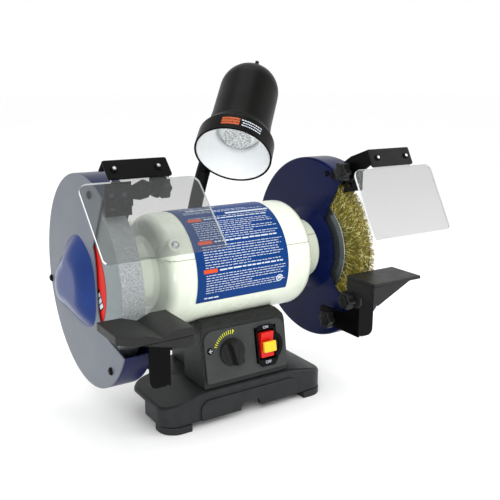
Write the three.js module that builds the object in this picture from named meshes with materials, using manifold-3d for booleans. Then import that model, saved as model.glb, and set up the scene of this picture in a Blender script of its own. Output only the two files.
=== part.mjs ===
// Eight-inch bench grinder with a grinding wheel, a wire wheel, a work lamp and a speed control.
// Millimetres. The model is laid out about the spindle: X is the spindle's centre line, -Y is the
// operator's side and +Z is up. At the end the whole group is moved so that the origin is at the
// bottom centre of its bounding box, on the bench.
import * as THREE from "three";
import { mergeVertices } from "three/addons/utils/BufferGeometryUtils.js";
import Module from "manifold-3d";

const wasm = await Module();
wasm.setup();

// ---- driving dimensions -----------------------------------------------------------------------
const GAP = 0.3; // clearance between pieces that touch
const BENCH_Z = -177; // bench surface below the spindle
const FOOT_HEIGHT = 12;

const MOTOR_RADIUS = 68;
const MOTOR_HALF = 98; // motor body, half length
const MOTOR_WALL = 4;
const BOSS_RADIUS = 39;
const BOSS_END = 131;
const BOSS_BORE = 15;
const SEAM_Z = 25; // parting plane of the motor housing
const SEAT_RADIUS = 20 + GAP;
const STATOR_HALF = 36;
const ROTOR_RADIUS = 35.5;

const SHAFT_RADIUS = 7.9;
const JOURNAL_RADIUS = 8.5;
const SHAFT_END = 188;

const SIDE_X = 158.3; // middle plane of each wheel and guard
const WHEEL_RADIUS = 100;
const WHEEL_WIDTH = 25.4;
const BLOTTER_RADIUS = 57;
const FLANGE_RADIUS = 34;
const WIRE_PLATE_RADIUS = 66;
const BRUSH_RADIUS = 101.5;

const GUARD_RADIUS = 121;
const GUARD_INNER_X = 141.6; // motor-side face of each guard
const GUARD_OUTER_X = 175; // outer face of each guard cover
const SHEET = 1.6;
const HUB_RADIUS = 55; // round part of the guard plates that the front opening leaves
const COVER_EDGE = 38.5; // distance of the covers' front edge from the spindle
const HUB_DEPTH = 10; // dish of the inner plate towards the motor
const BULGE_DEPTH = 16;

const PEDESTAL_HALF = 60;
const PEDESTAL_BACK = 50;
const COLUMN_HALF = 44; // the narrower column behind the control box
const COLUMN_FRONT = -18;
const PANEL_FOOT = [-70, -131]; // y, z of the control face's lower edge
const PANEL_HEAD = [-58, -66]; // y, z of its upper edge
const PANEL_THICKNESS = 2.5;
const DIAL_X = -21;
const SWITCH_X = 29;
const CONTROL_Z = -95;

const BASE_HALF = 116;
const BASE_FRONT = -78;
const BASE_BACK = 25;
const BASE_LOBE_HALF = 72; // rear lobe under the pedestal
const BASE_LOBE_BACK = 54;
const SIDE_ARCH_Y = -23; // behind this line the base's sides stand clear of the bench

const ARM_X0 = SIDE_X - 31; // motor-side face of the shield arm
const SHIELD_PIVOT = [-92, 114]; // y, z of the eye shield clamp bolt
const SHIELD_HALF = 61;
const SHIELD_HEIGHT = 84;
const SHIELD_TILT_LEFT = 44; // degrees from upright
const SHIELD_TILT_RIGHT = 29;
const SHIELD_TOP_LEFT = [-130, 129.5]; // y, z of the shield's upper edge
const SHIELD_TOP_RIGHT = [-133, 121.5];

const REST_TOP_Z = -13;
const REST_BACK_Y = -101.5;
const REST_DEPTH = 50;
const GROOVED_REST_DEPTH = 62;
const REST_INNER_X = 124;
const REST_OUTER_X = 200;
const REST_PIVOT = [-111, -42]; // y, z of the tilt clamp bolt
const ARM_BOLT = [-70, -79]; // y, z of the support arm's clamp bolt

const LAMP_MOUTH = new THREE.Vector3(33.8, 20.5, 127.2); // centre of the shade's mouth
const LAMP_AXIS = new THREE.Vector3(0.543, 0.506, 0.67).normalize(); // mouth towards the dome
const SHADE_MOUTH_RADIUS = 49.8;
const SHADE_BODY_RADIUS = 39.5;
const SHADE_LENGTH = 152;
const SHADE_WALL = 2;
const NECK_RADIUS = 9.5;
const NECK_Y = 82;
const NECK_FOOT_Z = -66;

// ---- materials --------------------------------------------------------------------------------
const paint = (color, roughness, metalness) =>
  new THREE.MeshStandardMaterial({ color, roughness, metalness });
const BLACK_CAST = paint(0x26282b, 0.75, 0.1);
const BLACK_STEEL = paint(0x1c1d1f, 0.45, 0.4);
const BLACK_PLASTIC = paint(0x17181a, 0.5, 0);
const RUBBER = paint(0x111214, 0.9, 0);
const CREAM_PAINT = paint(0xe3e9d8, 0.35, 0.05);
const BLUE_PAINT = paint(0x2a3c78, 0.3, 0.15);
const LABEL_BLUE = paint(0x1d4f93, 0.4, 0);
const STEEL = paint(0xb5b9bd, 0.3, 0.9);
const LAMINATION = paint(0x6c6f73, 0.6, 0.6);
const COPPER = paint(0xb06a35, 0.4, 0.7);
const ABRASIVE = paint(0x9a9c9e, 0.95, 0);
const PAPER_RED = paint(0xd8352a, 0.8, 0);
const BRASS = paint(0xb79a4b, 0.45, 0.8);
const CLEAR = paint(0xe8eef0, 0.1, 0);
CLEAR.transparent = true;
CLEAR.opacity = 0.3;
const RED_PLASTIC = paint(0xd92f2a, 0.35, 0);
const YELLOW_PLASTIC = paint(0xf0c21c, 0.4, 0);
const WHITE_ENAMEL = paint(0xf2f2ef, 0.35, 0);
const BOARD_GREEN = paint(0x2f6b45, 0.6, 0);

// ---- shape helpers ----------------------------------------------------------------------------
function toSolid(geometry) {
  const bare = geometry.clone();
  for (const key of Object.keys(bare.attributes)) if (key !== "position") bare.deleteAttribute(key);
  const merged = mergeVertices(bare, 1e-4);
  const mesh = new wasm.Mesh({
    numProp: 3,
    vertProperties: new Float32Array(merged.attributes.position.array),
    triVerts: new Uint32Array(merged.index.array),
  });
  mesh.merge();
  return new wasm.Manifold(mesh);
}

function toGeometry(solid) {
  const mesh = solid.getMesh();
  const geometry = new THREE.BufferGeometry();
  geometry.setAttribute("position", new THREE.BufferAttribute(new Float32Array(mesh.vertProperties), 3));
  geometry.setIndex(new THREE.BufferAttribute(new Uint32Array(mesh.triVerts), 1));
  geometry.computeVertexNormals();
  return geometry;
}

const join = (...solids) => solids.reduce((sum, solid) => sum.add(solid));
const cut = (solid, ...tools) => tools.reduce((rest, tool) => rest.subtract(tool), solid);

// Box from its lowest corner to its highest corner.
function box(low, high) {
  const size = high.map((value, i) => value - low[i]);
  const middle = high.map((value, i) => (value + low[i]) / 2);
  return toSolid(new THREE.BoxGeometry(...size).translate(...middle));
}

// A solid of revolution about X from a closed profile of [x, radius] points.
function turned(profile, segments = 32) {
  const points = profile.map(([x, r]) => new THREE.Vector2(r, x));
  const onAxis = profile[0][1] === 0 && profile[profile.length - 1][1] === 0;
  if (!onAxis) points.push(points[0].clone());
  return toSolid(fixWinding(new THREE.LatheGeometry(points, segments).rotateZ(-Math.PI / 2)));
}

// Turns every face over where the geometry encloses a negative volume.
function fixWinding(geometry) {
  const at = geometry.attributes.position;
  const order = geometry.index.array;
  const [a, b, c] = [new THREE.Vector3(), new THREE.Vector3(), new THREE.Vector3()];
  let volume = 0;
  for (let i = 0; i < order.length; i += 3) {
    a.fromBufferAttribute(at, order[i]);
    b.fromBufferAttribute(at, order[i + 1]);
    c.fromBufferAttribute(at, order[i + 2]);
    volume += a.dot(b.cross(c));
  }
  if (volume > 0) return geometry;
  for (let i = 0; i < order.length; i += 3) [order[i], order[i + 1]] = [order[i + 1], order[i]];
  return geometry;
}

const ring = (x0, x1, inner, outer, segments = 24) =>
  turned([[x0, inner], [x0, outer], [x1, outer], [x1, inner]], segments);
const rod = (x0, x1, radius, segments = 20) =>
  turned([[x0, 0], [x0, radius], [x1, radius], [x1, 0]], segments);

// Closed outlines as THREE.Shape from [u, v] points.
const outline = (points) => new THREE.Shape(points.map(([u, v]) => new THREE.Vector2(u, v)));

function roundedRect(u0, v0, u1, v1, radius) {
  const shape = new THREE.Shape();
  shape.moveTo(u0 + radius, v0);
  shape.lineTo(u1 - radius, v0);
  shape.absarc(u1 - radius, v0 + radius, radius, -Math.PI / 2, 0);
  shape.lineTo(u1, v1 - radius);
  shape.absarc(u1 - radius, v1 - radius, radius, 0, Math.PI / 2);
  shape.lineTo(u0 + radius, v1);
  shape.absarc(u0 + radius, v1 - radius, radius, Math.PI / 2, Math.PI);
  shape.lineTo(u0, v0 + radius);
  shape.absarc(u0 + radius, v0 + radius, radius, Math.PI, Math.PI * 1.5);
  return shape;
}

function extrude(shape, depth, curveSegments = 3) {
  return new THREE.ExtrudeGeometry(shape, { depth, bevelEnabled: false, curveSegments, steps: 1 });
}

// A (y, z) outline that spans x0 to x1.
const SIDEWAYS = new THREE.Matrix4().set(0, 0, 1, 0, 1, 0, 0, 0, 0, 1, 0, 0, 0, 0, 0, 1);
const sheetX = (shape, x0, x1, curveSegments) =>
  toSolid(extrude(shape, x1 - x0, curveSegments).applyMatrix4(SIDEWAYS).translate(x0, 0, 0));
// An (x, y) outline that spans z0 to z1.
const sheetZ = (shape, z0, z1, curveSegments) =>
  toSolid(extrude(shape, z1 - z0, curveSegments).translate(0, 0, z0));
// An (x, z) outline that spans y0 to y1.
const FORWARD = new THREE.Matrix4().set(1, 0, 0, 0, 0, 0, -1, 0, 0, 1, 0, 0, 0, 0, 0, 1);
const sheetY = (shape, y0, y1, curveSegments) =>
  toSolid(extrude(shape, y1 - y0, curveSegments).applyMatrix4(FORWARD).translate(0, y1, 0));

// The same solid moved to a (y, z) place.
const placed = (solid, [y, z]) => toSolid(toGeometry(solid).translate(0, y, z));

const group = new THREE.Group();

function part(name, solid, material, parent = group) {
  const mesh = new THREE.Mesh(toGeometry(solid), material);
  mesh.name = name;
  parent.add(mesh);
  return mesh;
}

// Mirrors a right-hand solid's mesh to the left-hand side for side = -1.
function onSide(side, solid) {
  if (side > 0) return solid;
  const geometry = toGeometry(solid).scale(-1, 1, 1);
  return toSolid(fixWinding(geometry));
}

// ---- base and feet ----------------------------------------------------------------------------
const CASTING_BOTTOM = BENCH_Z + FOOT_HEIGHT - 3;

// Plans of the base and of its rear lobe, drawn in by an inset.
const CORNER = 22;
const basePlan = (inset) =>
  roundedRect(-BASE_HALF + inset, BASE_FRONT + inset, BASE_HALF - inset, BASE_BACK - inset, CORNER - inset);
const lobePlan = (inset) =>
  roundedRect(-BASE_LOBE_HALF + inset, -20, BASE_LOBE_HALF - inset, BASE_LOBE_BACK - inset, CORNER - inset);

function baseCasting() {
  const block = join(sheetZ(basePlan(0), CASTING_BOTTOM, -130), sheetZ(lobePlan(0), CASTING_BOTTOM, -130));
  const crown = new THREE.Shape();
  crown.moveTo(-BASE_HALF - 1, -200);
  crown.lineTo(-BASE_HALF - 1, -146);
  crown.quadraticCurveTo(-80, -140, -PEDESTAL_HALF, -134);
  crown.lineTo(PEDESTAL_HALF, -134);
  crown.quadraticCurveTo(80, -140, BASE_HALF + 1, -146);
  crown.lineTo(BASE_HALF + 1, -200);
  const arched = block.intersect(sheetY(crown, -100, 80, 4));
  const hollow = sheetZ(roundedRect(-108, -70, 108, 17, 16), CASTING_BOTTOM - 1, -152);
  const rearHollow = sheetZ(roundedRect(-64, -20, 64, 46, 16), CASTING_BOTTOM - 1, -152);
  const cableWay = box([-40, -45, -153], [40, 30, -130]);
  const archNotch = sheetY(roundedRect(-15, -190, 15, -157, 7), -90, -60);
  const sideArches = [-1, 1].map((side) => {
    const [near, far] = [side * (BASE_LOBE_HALF + 1), side * (BASE_HALF + 5)];
    return box([Math.min(near, far), SIDE_ARCH_Y, -180], [Math.max(near, far), 40, -151]);
  });
  return cut(arched, hollow, rearHollow, cableWay, archNotch, ...sideArches);
}
part("base_casting", baseCasting(), BLACK_CAST);

const FOOT_SPOTS = {
  foot_front_left: [-98, -63],
  foot_front_right: [98, -63],
  foot_rear_left: [-54, 39],
  foot_rear_right: [54, 39],
};
for (const [name, [x, y]] of Object.entries(FOOT_SPOTS)) {
  const plan = y < 0 ? basePlan(1) : lobePlan(1);
  const block = box([x - 17, y - 14, BENCH_Z - 1], [x + 17, y + 14, CASTING_BOTTOM]);
  part(name, sheetZ(plan, BENCH_Z, CASTING_BOTTOM - GAP, 3).intersect(block), RUBBER);
}

// ---- pedestal and controls --------------------------------------------------------------------
const TILT = Math.atan2(PANEL_HEAD[0] - PANEL_FOOT[0], PANEL_HEAD[1] - PANEL_FOOT[1]);
const faceY = (z) => PANEL_FOOT[0] + (z - PANEL_FOOT[1]) * Math.tan(TILT);
const SADDLE = rod(-120, 120, MOTOR_RADIUS + GAP, 48);
const PEDESTAL_FLOOR = -134 + GAP;

function pedestalCasting() {
  const boxProfile = outline([
    [PANEL_FOOT[0], PEDESTAL_FLOOR],
    [COLUMN_FRONT, PEDESTAL_FLOOR],
    [COLUMN_FRONT, -56],
    [-50, -56],
    [PANEL_HEAD[0], -62],
    [faceY(-66), -66],
  ]);
  const controlBox = sheetX(boxProfile, -PEDESTAL_HALF, PEDESTAL_HALF);
  const column = box([-COLUMN_HALF, COLUMN_FRONT - 5, PEDESTAL_FLOOR], [COLUMN_HALF, PEDESTAL_BACK, -56]);
  const boxCavity = outline([[-64, -140], [COLUMN_FRONT - 5, -140], [COLUMN_FRONT - 5, -74], [-56, -74]]);
  const columnCavity = box([5 - COLUMN_HALF, -30, -140], [COLUMN_HALF - 5, PEDESTAL_BACK - 6, -74]);
  const switchWindow = box([SWITCH_X - 17, -80, CONTROL_Z - 26], [SWITCH_X + 17, -45, CONTROL_Z + 22]);
  const dialHole = box([DIAL_X - 6, -80, CONTROL_Z - 6], [DIAL_X + 6, -45, CONTROL_Z + 6]);
  const glandHole = box([-33, 30, -118], [-17, 60, -102]);
  return cut(
    join(controlBox, column),
    sheetX(boxCavity, -PEDESTAL_HALF + 5, PEDESTAL_HALF - 5),
    columnCavity,
    SADDLE,
    switchWindow,
    dialHole,
    glandHole,
  );
}
part("pedestal_casting", pedestalCasting(), BLACK_CAST);

// Controls are laid out in the panel's own frame: x across, y up the face, z out of it.
const controls = new THREE.Group();
controls.position.set(0, faceY(CONTROL_Z), CONTROL_Z);
controls.rotation.x = Math.PI / 2 - TILT;
group.add(controls);

const PANEL_BACK = GAP;
const PANEL_FRONT = PANEL_BACK + PANEL_THICKNESS;
const BEZEL_HALF = [19, 27.5];

function controlPanel() {
  const plate = sheetZ(roundedRect(-57, -33, 57, 29, 7), PANEL_BACK, PANEL_FRONT, 5);
  const window = box([SWITCH_X - 16, -22.5, -5], [SWITCH_X + 16, 21.5, 9]);
  const hole = box([DIAL_X - 5, -5, -5], [DIAL_X + 5, 5, 9]);
  return cut(plate, window, hole);
}
part("control_panel", controlPanel(), BLACK_PLASTIC, controls);

function switchBody() {
  const bezel = sheetZ(
    roundedRect(SWITCH_X - BEZEL_HALF[0], -27.5, SWITCH_X + BEZEL_HALF[0], 23.5, 4),
    PANEL_FRONT + GAP,
    PANEL_FRONT + 3,
    4,
  );
  const body = box([SWITCH_X - 15, -21, -24], [SWITCH_X + 14, 20, PANEL_FRONT + 1]);
  const recess = box([SWITCH_X - 13, -18.5, -6], [SWITCH_X + 10, 17.5, 12]);
  return cut(join(bezel, body), recess);
}
part("switch_body", switchBody(), BLACK_PLASTIC, controls);

function switchPaddle() {
  const profile = outline([[-16, 1], [-16, 7], [-1, 6.5], [15.5, 10.5], [15.5, 1], [-1, -4]]);
  const block = sheetX(profile, SWITCH_X - 10.5, SWITCH_X + 7.5);
  const keySlot = box([SWITCH_X - 6.5, -7.5, 2], [SWITCH_X + 5.5, 1.5, 20]);
  return cut(block, keySlot);
}
part("switch_paddle", switchPaddle(), RED_PLASTIC, controls);

function safetyKey() {
  const stem = box([SWITCH_X - 6.2, -7.2, 2 + GAP], [SWITCH_X + 5.2, 1.2, 11]);
  const cap = box([SWITCH_X - 11, -8.5, 10.8], [SWITCH_X + 6.5, 4.5, 15.5]);
  return join(stem, cap);
}
part("safety_key", safetyKey(), YELLOW_PLASTIC, controls);

const turnedUp = (profile, x, y, segments) =>
  toSolid(toGeometry(turned(profile, segments)).rotateY(-Math.PI / 2).translate(x, y, 0));

function speedDial() {
  const skirt = turnedUp([[4, 0], [4, 17], [7, 16.5], [8.5, 13], [18, 12], [18, 0]], DIAL_X, 0, 32);
  const grip = box([DIAL_X - 3.5, -15, 9], [DIAL_X + 3.5, 15, 21]);
  const stem = turnedUp([[-4, 0], [-4, 3], [5, 3], [5, 0]], DIAL_X, 0, 12);
  return join(skirt, grip, stem);
}
part("speed_dial", speedDial(), BLACK_PLASTIC, controls);

const potentiometer = turnedUp([[-18, 0], [-18, 8], [-8, 8], [-8, 0]], DIAL_X, 0, 16);
part("speed_potentiometer", potentiometer, STEEL, controls);
part("speed_control_board", box([-48, -22, -34], [-2, 18, -32]), BOARD_GREEN, controls);

const glandProfile = [[38, 4], [38, 7.5], [50.3, 7.5], [50.3, 10], [54, 10], [60, 6.5], [60, 4]];
const gland = toGeometry(turned(glandProfile, 16)).rotateZ(Math.PI / 2);
const glandMesh = part("cord_gland", toSolid(gland), BLACK_PLASTIC);
glandMesh.position.set(-25, 0, -110);

// ---- motor ------------------------------------------------------------------------------------
// Half of the housing's closed profile, for the end at +x, from the boss's bore round the outside.
const OUTER_END = [
  [MOTOR_HALF - 12, MOTOR_RADIUS],
  [MOTOR_HALF - 5, MOTOR_RADIUS - 3],
  [MOTOR_HALF, MOTOR_RADIUS - 11],
  [MOTOR_HALF + 3, BOSS_RADIUS + 6],
  [MOTOR_HALF + 8, BOSS_RADIUS],
  [BOSS_END - 2, BOSS_RADIUS],
  [BOSS_END, BOSS_RADIUS - 2],
  [BOSS_END, BOSS_BORE],
];
const INNER_END = [
  [BOSS_END - 9.7, BOSS_BORE],
  [BOSS_END - 9.7, SEAT_RADIUS],
  [108, SEAT_RADIUS],
  [100, SEAT_RADIUS + 6],
  [MOTOR_HALF - 4, MOTOR_RADIUS - 16],
  [MOTOR_HALF - 12, MOTOR_RADIUS - MOTOR_WALL],
];
const mirrorX = (points) => points.map(([x, r]) => [-x, r]).reverse();
const HOUSING = turned([...OUTER_END, ...INNER_END, ...mirrorX(INNER_END), ...mirrorX(OUTER_END)]);
const aboveSeam = box([-200, -100, SEAM_Z + GAP / 2], [200, 100, 100]);
const belowSeam = box([-200, -100, -100], [200, 100, SEAM_Z - GAP / 2]);
part("motor_housing_upper", HOUSING.intersect(aboveSeam), CREAM_PAINT);
part("motor_housing_lower", HOUSING.intersect(belowSeam), CREAM_PAINT);

function ratingLabel() {
  const band = ring(-67, 59, MOTOR_RADIUS + GAP + 0.1, MOTOR_RADIUS + 0.8, 64);
  const start = (75 * Math.PI) / 180;
  const end = (204 * Math.PI) / 180;
  const reach = 150;
  const wedge = [[0, 0]];
  for (const step of [0, 0.5, 1]) {
    const angle = start + (end - start) * step;
    wedge.push([reach * Math.cos(angle), reach * Math.sin(angle)]);
  }
  return band.intersect(sheetX(outline(wedge), -90, 90));
}
part("rating_label", ratingLabel(), LABEL_BLUE);

const SLOT_COUNT = 12;
function slotBars(halfWidth, inner, outer, halfLength) {
  const bar = () => new THREE.BoxGeometry(2 * halfLength, 2 * halfWidth, outer - inner);
  const bars = [];
  for (let i = 0; i < SLOT_COUNT; i++) {
    const placed = bar().translate(0, 0, (inner + outer) / 2).rotateX((i * 2 * Math.PI) / SLOT_COUNT);
    bars.push(toSolid(placed));
  }
  return bars;
}
const core = ring(-STATOR_HALF, STATOR_HALF, ROTOR_RADIUS + 0.8, MOTOR_RADIUS - MOTOR_WALL - 0.5, 24);
part("stator_core", cut(core, ...slotBars(3, 40, 50, 60)), LAMINATION);
const coilEnd = (x0, x1) => ring(x0, x1, 38, 58, 24);
const winding = join(
  coilEnd(STATOR_HALF + GAP, STATOR_HALF + 14),
  coilEnd(-STATOR_HALF - 14, -STATOR_HALF - GAP),
  ...slotBars(2.5, 40.5, 49.5, STATOR_HALF + 6),
);
part("stator_winding", winding, COPPER);

const bearing = (x0, x1) => ring(x0, x1, JOURNAL_RADIUS + GAP, SEAT_RADIUS - GAP, 24);
part("bearing_left", bearing(-121, -109), STEEL);
part("bearing_right", bearing(109, 121), STEEL);

// ---- spindle ----------------------------------------------------------------------------------
const HALF_SHAFT = [
  [SHAFT_END, 0],
  [SHAFT_END, SHAFT_RADIUS - 1],
  [SHAFT_END - 1, SHAFT_RADIUS],
  [124, SHAFT_RADIUS],
  [124, JOURNAL_RADIUS],
  [104, JOURNAL_RADIUS],
  [104, 10],
];
part("spindle_shaft", turned([...HALF_SHAFT, ...mirrorX(HALF_SHAFT)], 16), STEEL);
part("rotor_core", ring(-STATOR_HALF, STATOR_HALF, 10 + GAP, ROTOR_RADIUS, 24), LAMINATION);

const BORE = SHAFT_RADIUS + GAP;
const WHEEL_IN = SIDE_X - WHEEL_WIDTH / 2;
const WHEEL_OUT = SIDE_X + WHEEL_WIDTH / 2;
const wheel = turned(
  [
    [WHEEL_IN, BORE],
    [WHEEL_IN, WHEEL_RADIUS - 1],
    [WHEEL_IN + 1, WHEEL_RADIUS],
    [WHEEL_OUT - 1, WHEEL_RADIUS],
    [WHEEL_OUT, WHEEL_RADIUS - 1],
    [WHEEL_OUT, BORE],
  ],
  32,
);
part("grinding_wheel", onSide(-1, wheel), ABRASIVE);
const blotter = ring(WHEEL_OUT + GAP, WHEEL_OUT + 0.8, BORE, BLOTTER_RADIUS, 24);
part("wheel_blotter", onSide(-1, blotter), PAPER_RED);

const innerFlange = turned(
  [
    [124 + GAP, BORE],
    [124 + GAP, 13],
    [137, 13],
    [138, FLANGE_RADIUS - 4],
    [WHEEL_IN - GAP, FLANGE_RADIUS],
    [WHEEL_IN - GAP, BORE],
  ],
  20,
);
const outerFlange = turned(
  [
    [WHEEL_OUT + 1.1, BORE],
    [WHEEL_OUT + 1.1, FLANGE_RADIUS],
    [WHEEL_OUT + 4, FLANGE_RADIUS - 6],
    [WHEEL_OUT + 5, 16],
    [WHEEL_OUT + 5, BORE],
  ],
  20,
);
part("wheel_flange_inner", onSide(-1, innerFlange), STEEL);
part("wheel_flange_outer", onSide(-1, outerFlange), STEEL);

const nut = cut(rod(WHEEL_OUT + 5.3, SHAFT_END - 3, 13.5, 6), rod(WHEEL_OUT, SHAFT_END, BORE, 20));
part("spindle_nut_left", onSide(-1, nut), STEEL);
part("spindle_nut_right", nut, STEEL);

const brushHub = turned(
  [
    [124 + GAP, BORE],
    [124 + GAP, 13],
    [140, 13],
    [144, 30],
    [148, WIRE_PLATE_RADIUS - 6],
    [150, WIRE_PLATE_RADIUS],
    [152, WIRE_PLATE_RADIUS],
    [153, 40],
    [165, 40],
    [166, WIRE_PLATE_RADIUS],
    [168, WIRE_PLATE_RADIUS],
    [171, 30],
    [WHEEL_OUT + 5, 16],
    [WHEEL_OUT + 5, BORE],
  ],
  20,
);
part("wire_wheel_hub", brushHub, STEEL);
const bristles = turned(
  [
    [153.5, 40 + GAP],
    [152.4, WIRE_PLATE_RADIUS],
    [149, 80],
    [147, BRUSH_RADIUS],
    [170, BRUSH_RADIUS],
    [168.5, 80],
    [165.6, WIRE_PLATE_RADIUS],
    [164.6, 40 + GAP],
  ],
  32,
);
part("wire_wheel_bristles", bristles, BRASS);

// ---- wheel guards -----------------------------------------------------------------------------
// (y, z) outline of the space that the guards leave open in front of the wheel.
function frontOpening(hubRadius) {
  const shape = new THREE.Shape();
  const from = (126 * Math.PI) / 180;
  const to = (208 * Math.PI) / 180;
  shape.moveTo(-200, 180);
  shape.lineTo(-103, 166);
  shape.lineTo(hubRadius * Math.cos(from), hubRadius * Math.sin(from));
  shape.absarc(0, 0, hubRadius, from, to);
  shape.quadraticCurveTo(-60, -48, -76, -50);
  shape.lineTo(-118, -57);
  shape.lineTo(-200, -70);
  return shape;
}
const opening = sheetX(frontOpening(HUB_RADIUS), GUARD_INNER_X - 1, GUARD_OUTER_X + 5, 4);
// The covers are cut back further, to a straight edge beside the wheel's hub.
function coverOpening() {
  const shape = new THREE.Shape();
  shape.moveTo(-200, 180);
  shape.lineTo(-103, 166);
  shape.lineTo(-33, 46);
  shape.quadraticCurveTo(-COVER_EDGE, 36, -COVER_EDGE, 18);
  shape.lineTo(-COVER_EDGE, -14);
  shape.quadraticCurveTo(-40, -36, -56, -44);
  shape.quadraticCurveTo(-66, -49, -76, -50);
  shape.lineTo(-118, -57);
  shape.lineTo(-200, -70);
  return shape;
}

const RIM_END_X = GUARD_OUTER_X - SHEET - GAP;
function innerGuard() {
  const shell = turned(
    [
      [GUARD_INNER_X - HUB_DEPTH, 24],
      [GUARD_INNER_X - HUB_DEPTH, BOSS_RADIUS - 3],
      [GUARD_INNER_X, HUB_RADIUS - 1],
      [GUARD_INNER_X, GUARD_RADIUS - 2],
      [GUARD_INNER_X + 2, GUARD_RADIUS],
      [RIM_END_X, GUARD_RADIUS],
      [RIM_END_X, GUARD_RADIUS - SHEET],
      [GUARD_INNER_X + 2, GUARD_RADIUS - SHEET],
      [GUARD_INNER_X + SHEET, GUARD_RADIUS - 3],
      [GUARD_INNER_X + SHEET, HUB_RADIUS - 1],
      [GUARD_INNER_X - HUB_DEPTH + SHEET, BOSS_RADIUS - 3],
      [GUARD_INNER_X - HUB_DEPTH + SHEET, 24],
    ],
    32,
  );
  const ear = sheetX(
    outline([[-48, 98], [-80, 101], [-98, 106], [-102, 114], [-97, 122], [-88, 123], [-46, 108]]),
    GUARD_INNER_X - 3,
    GUARD_INNER_X - GAP + 0.5,
  );
  const spacer = placed(rod(ARM_X0 + 3 + GAP, GUARD_INNER_X - 2, 7, 20), SHIELD_PIVOT);
  const flange = box([GUARD_INNER_X + 0.5, -67, 93], [RIM_END_X - 1, -65, 103.5]);
  const boltHole = placed(rod(120, 150, 3.4, 12), SHIELD_PIVOT);
  const armHole = placed(rod(120, 150, 3.4, 12), ARM_BOLT);
  return cut(join(cut(shell, opening), ear, spacer, flange), boltHole, armHole);
}
part("guard_left", onSide(-1, innerGuard()), BLUE_PAINT);
part("guard_right", innerGuard(), BLUE_PAINT);

// A closed skin through rings of points, with flat ends.
function loft(rings) {
  const count = rings[0].length;
  const points = rings.flat();
  const faces = [];
  for (let i = 0; i + 1 < rings.length; i++)
    for (let j = 0; j < count; j++) {
      const [a, b] = [i * count + j, i * count + ((j + 1) % count)];
      faces.push(a, b, b + count, a, b + count, a + count);
    }
  for (const [index, base] of [[0, 0], [rings.length - 1, (rings.length - 1) * count]]) {
    const middle = rings[index].reduce((sum, p) => sum.map((v, k) => v + p[k] / count), [0, 0, 0]);
    const centre = points.push(middle) - 1;
    for (let j = 0; j < count; j++) {
      const [a, b] = [base + j, base + ((j + 1) % count)];
      if (index === 0) faces.push(centre, b, a);
      else faces.push(centre, a, b);
    }
  }
  const geometry = new THREE.BufferGeometry();
  geometry.setAttribute("position", new THREE.BufferAttribute(new Float32Array(points.flat()), 3));
  geometry.setIndex(new THREE.BufferAttribute(new Uint32Array(faces), 1));
  return toSolid(fixWinding(geometry));
}

// Pressed bulge over the spindle nut: a rounded triangle that runs out towards the back.
const BULGE_OUTLINE = new THREE.CatmullRomCurve3(
  [
    [7, 47],
    [40, 38],
    [66, 12],
    [93, -12],
    [97, -32],
    [80, -45],
    [40, -47],
    [0, -51],
    [-27, -38],
    [-34, -6],
    [-26, 28],
  ].map(([y, z]) => new THREE.Vector3(0, y, z)),
  true,
);
const BULGE_CENTRE = [14, -4];
function bulge(inset, depth) {
  const points = BULGE_OUTLINE.getSpacedPoints(18).slice(0, -1);
  const levels = [[1.04, -4], [1, 0], [0.9, 0.45], [0.76, 0.8], [0.55, 1]];
  return loft(
    levels.map(([scale, rise]) => {
      const size = scale * (1 - inset / 60);
      const x = GUARD_OUTER_X + (rise < 0 ? rise : rise * depth);
      return points.map((p) => [
        x,
        BULGE_CENTRE[0] + (p.y - BULGE_CENTRE[0]) * size,
        BULGE_CENTRE[1] + (p.z - BULGE_CENTRE[1]) * size,
      ]);
    }),
  );
}
function guardCover() {
  const plate = turned(
    [
      [GUARD_OUTER_X - SHEET, 0],
      [GUARD_OUTER_X - SHEET, GUARD_RADIUS],
      [GUARD_OUTER_X - 0.6, GUARD_RADIUS],
      [GUARD_OUTER_X, GUARD_RADIUS - 0.8],
      [GUARD_OUTER_X, 0],
    ],
    32,
  );
  const outside = box([GUARD_OUTER_X - SHEET, -200, -200], [300, 200, 200]);
  const pressing = bulge(0, BULGE_DEPTH).intersect(outside);
  const front = sheetX(coverOpening(), GUARD_INNER_X, GUARD_OUTER_X + 5, 4);
  return cut(join(cut(plate, front), pressing), bulge(2.4, BULGE_DEPTH - SHEET));
}
part("guard_cover_left", onSide(-1, guardCover()), BLUE_PAINT);
part("guard_cover_right", guardCover(), BLUE_PAINT);

// ---- spark arrestors --------------------------------------------------------------------------
function sparkArrestor() {
  const plate = box([SIDE_X - 14.7, -69.3, 84], [SIDE_X + 14.6, -67.3, 119]);
  const slot = (x) => box([x - 3, -75, 90], [x + 3, -60, 108]);
  return cut(plate, slot(SIDE_X - 7), slot(SIDE_X + 7));
}
part("spark_arrestor_left", onSide(-1, sparkArrestor()), BLACK_STEEL);
part("spark_arrestor_right", sparkArrestor(), BLACK_STEEL);

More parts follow.
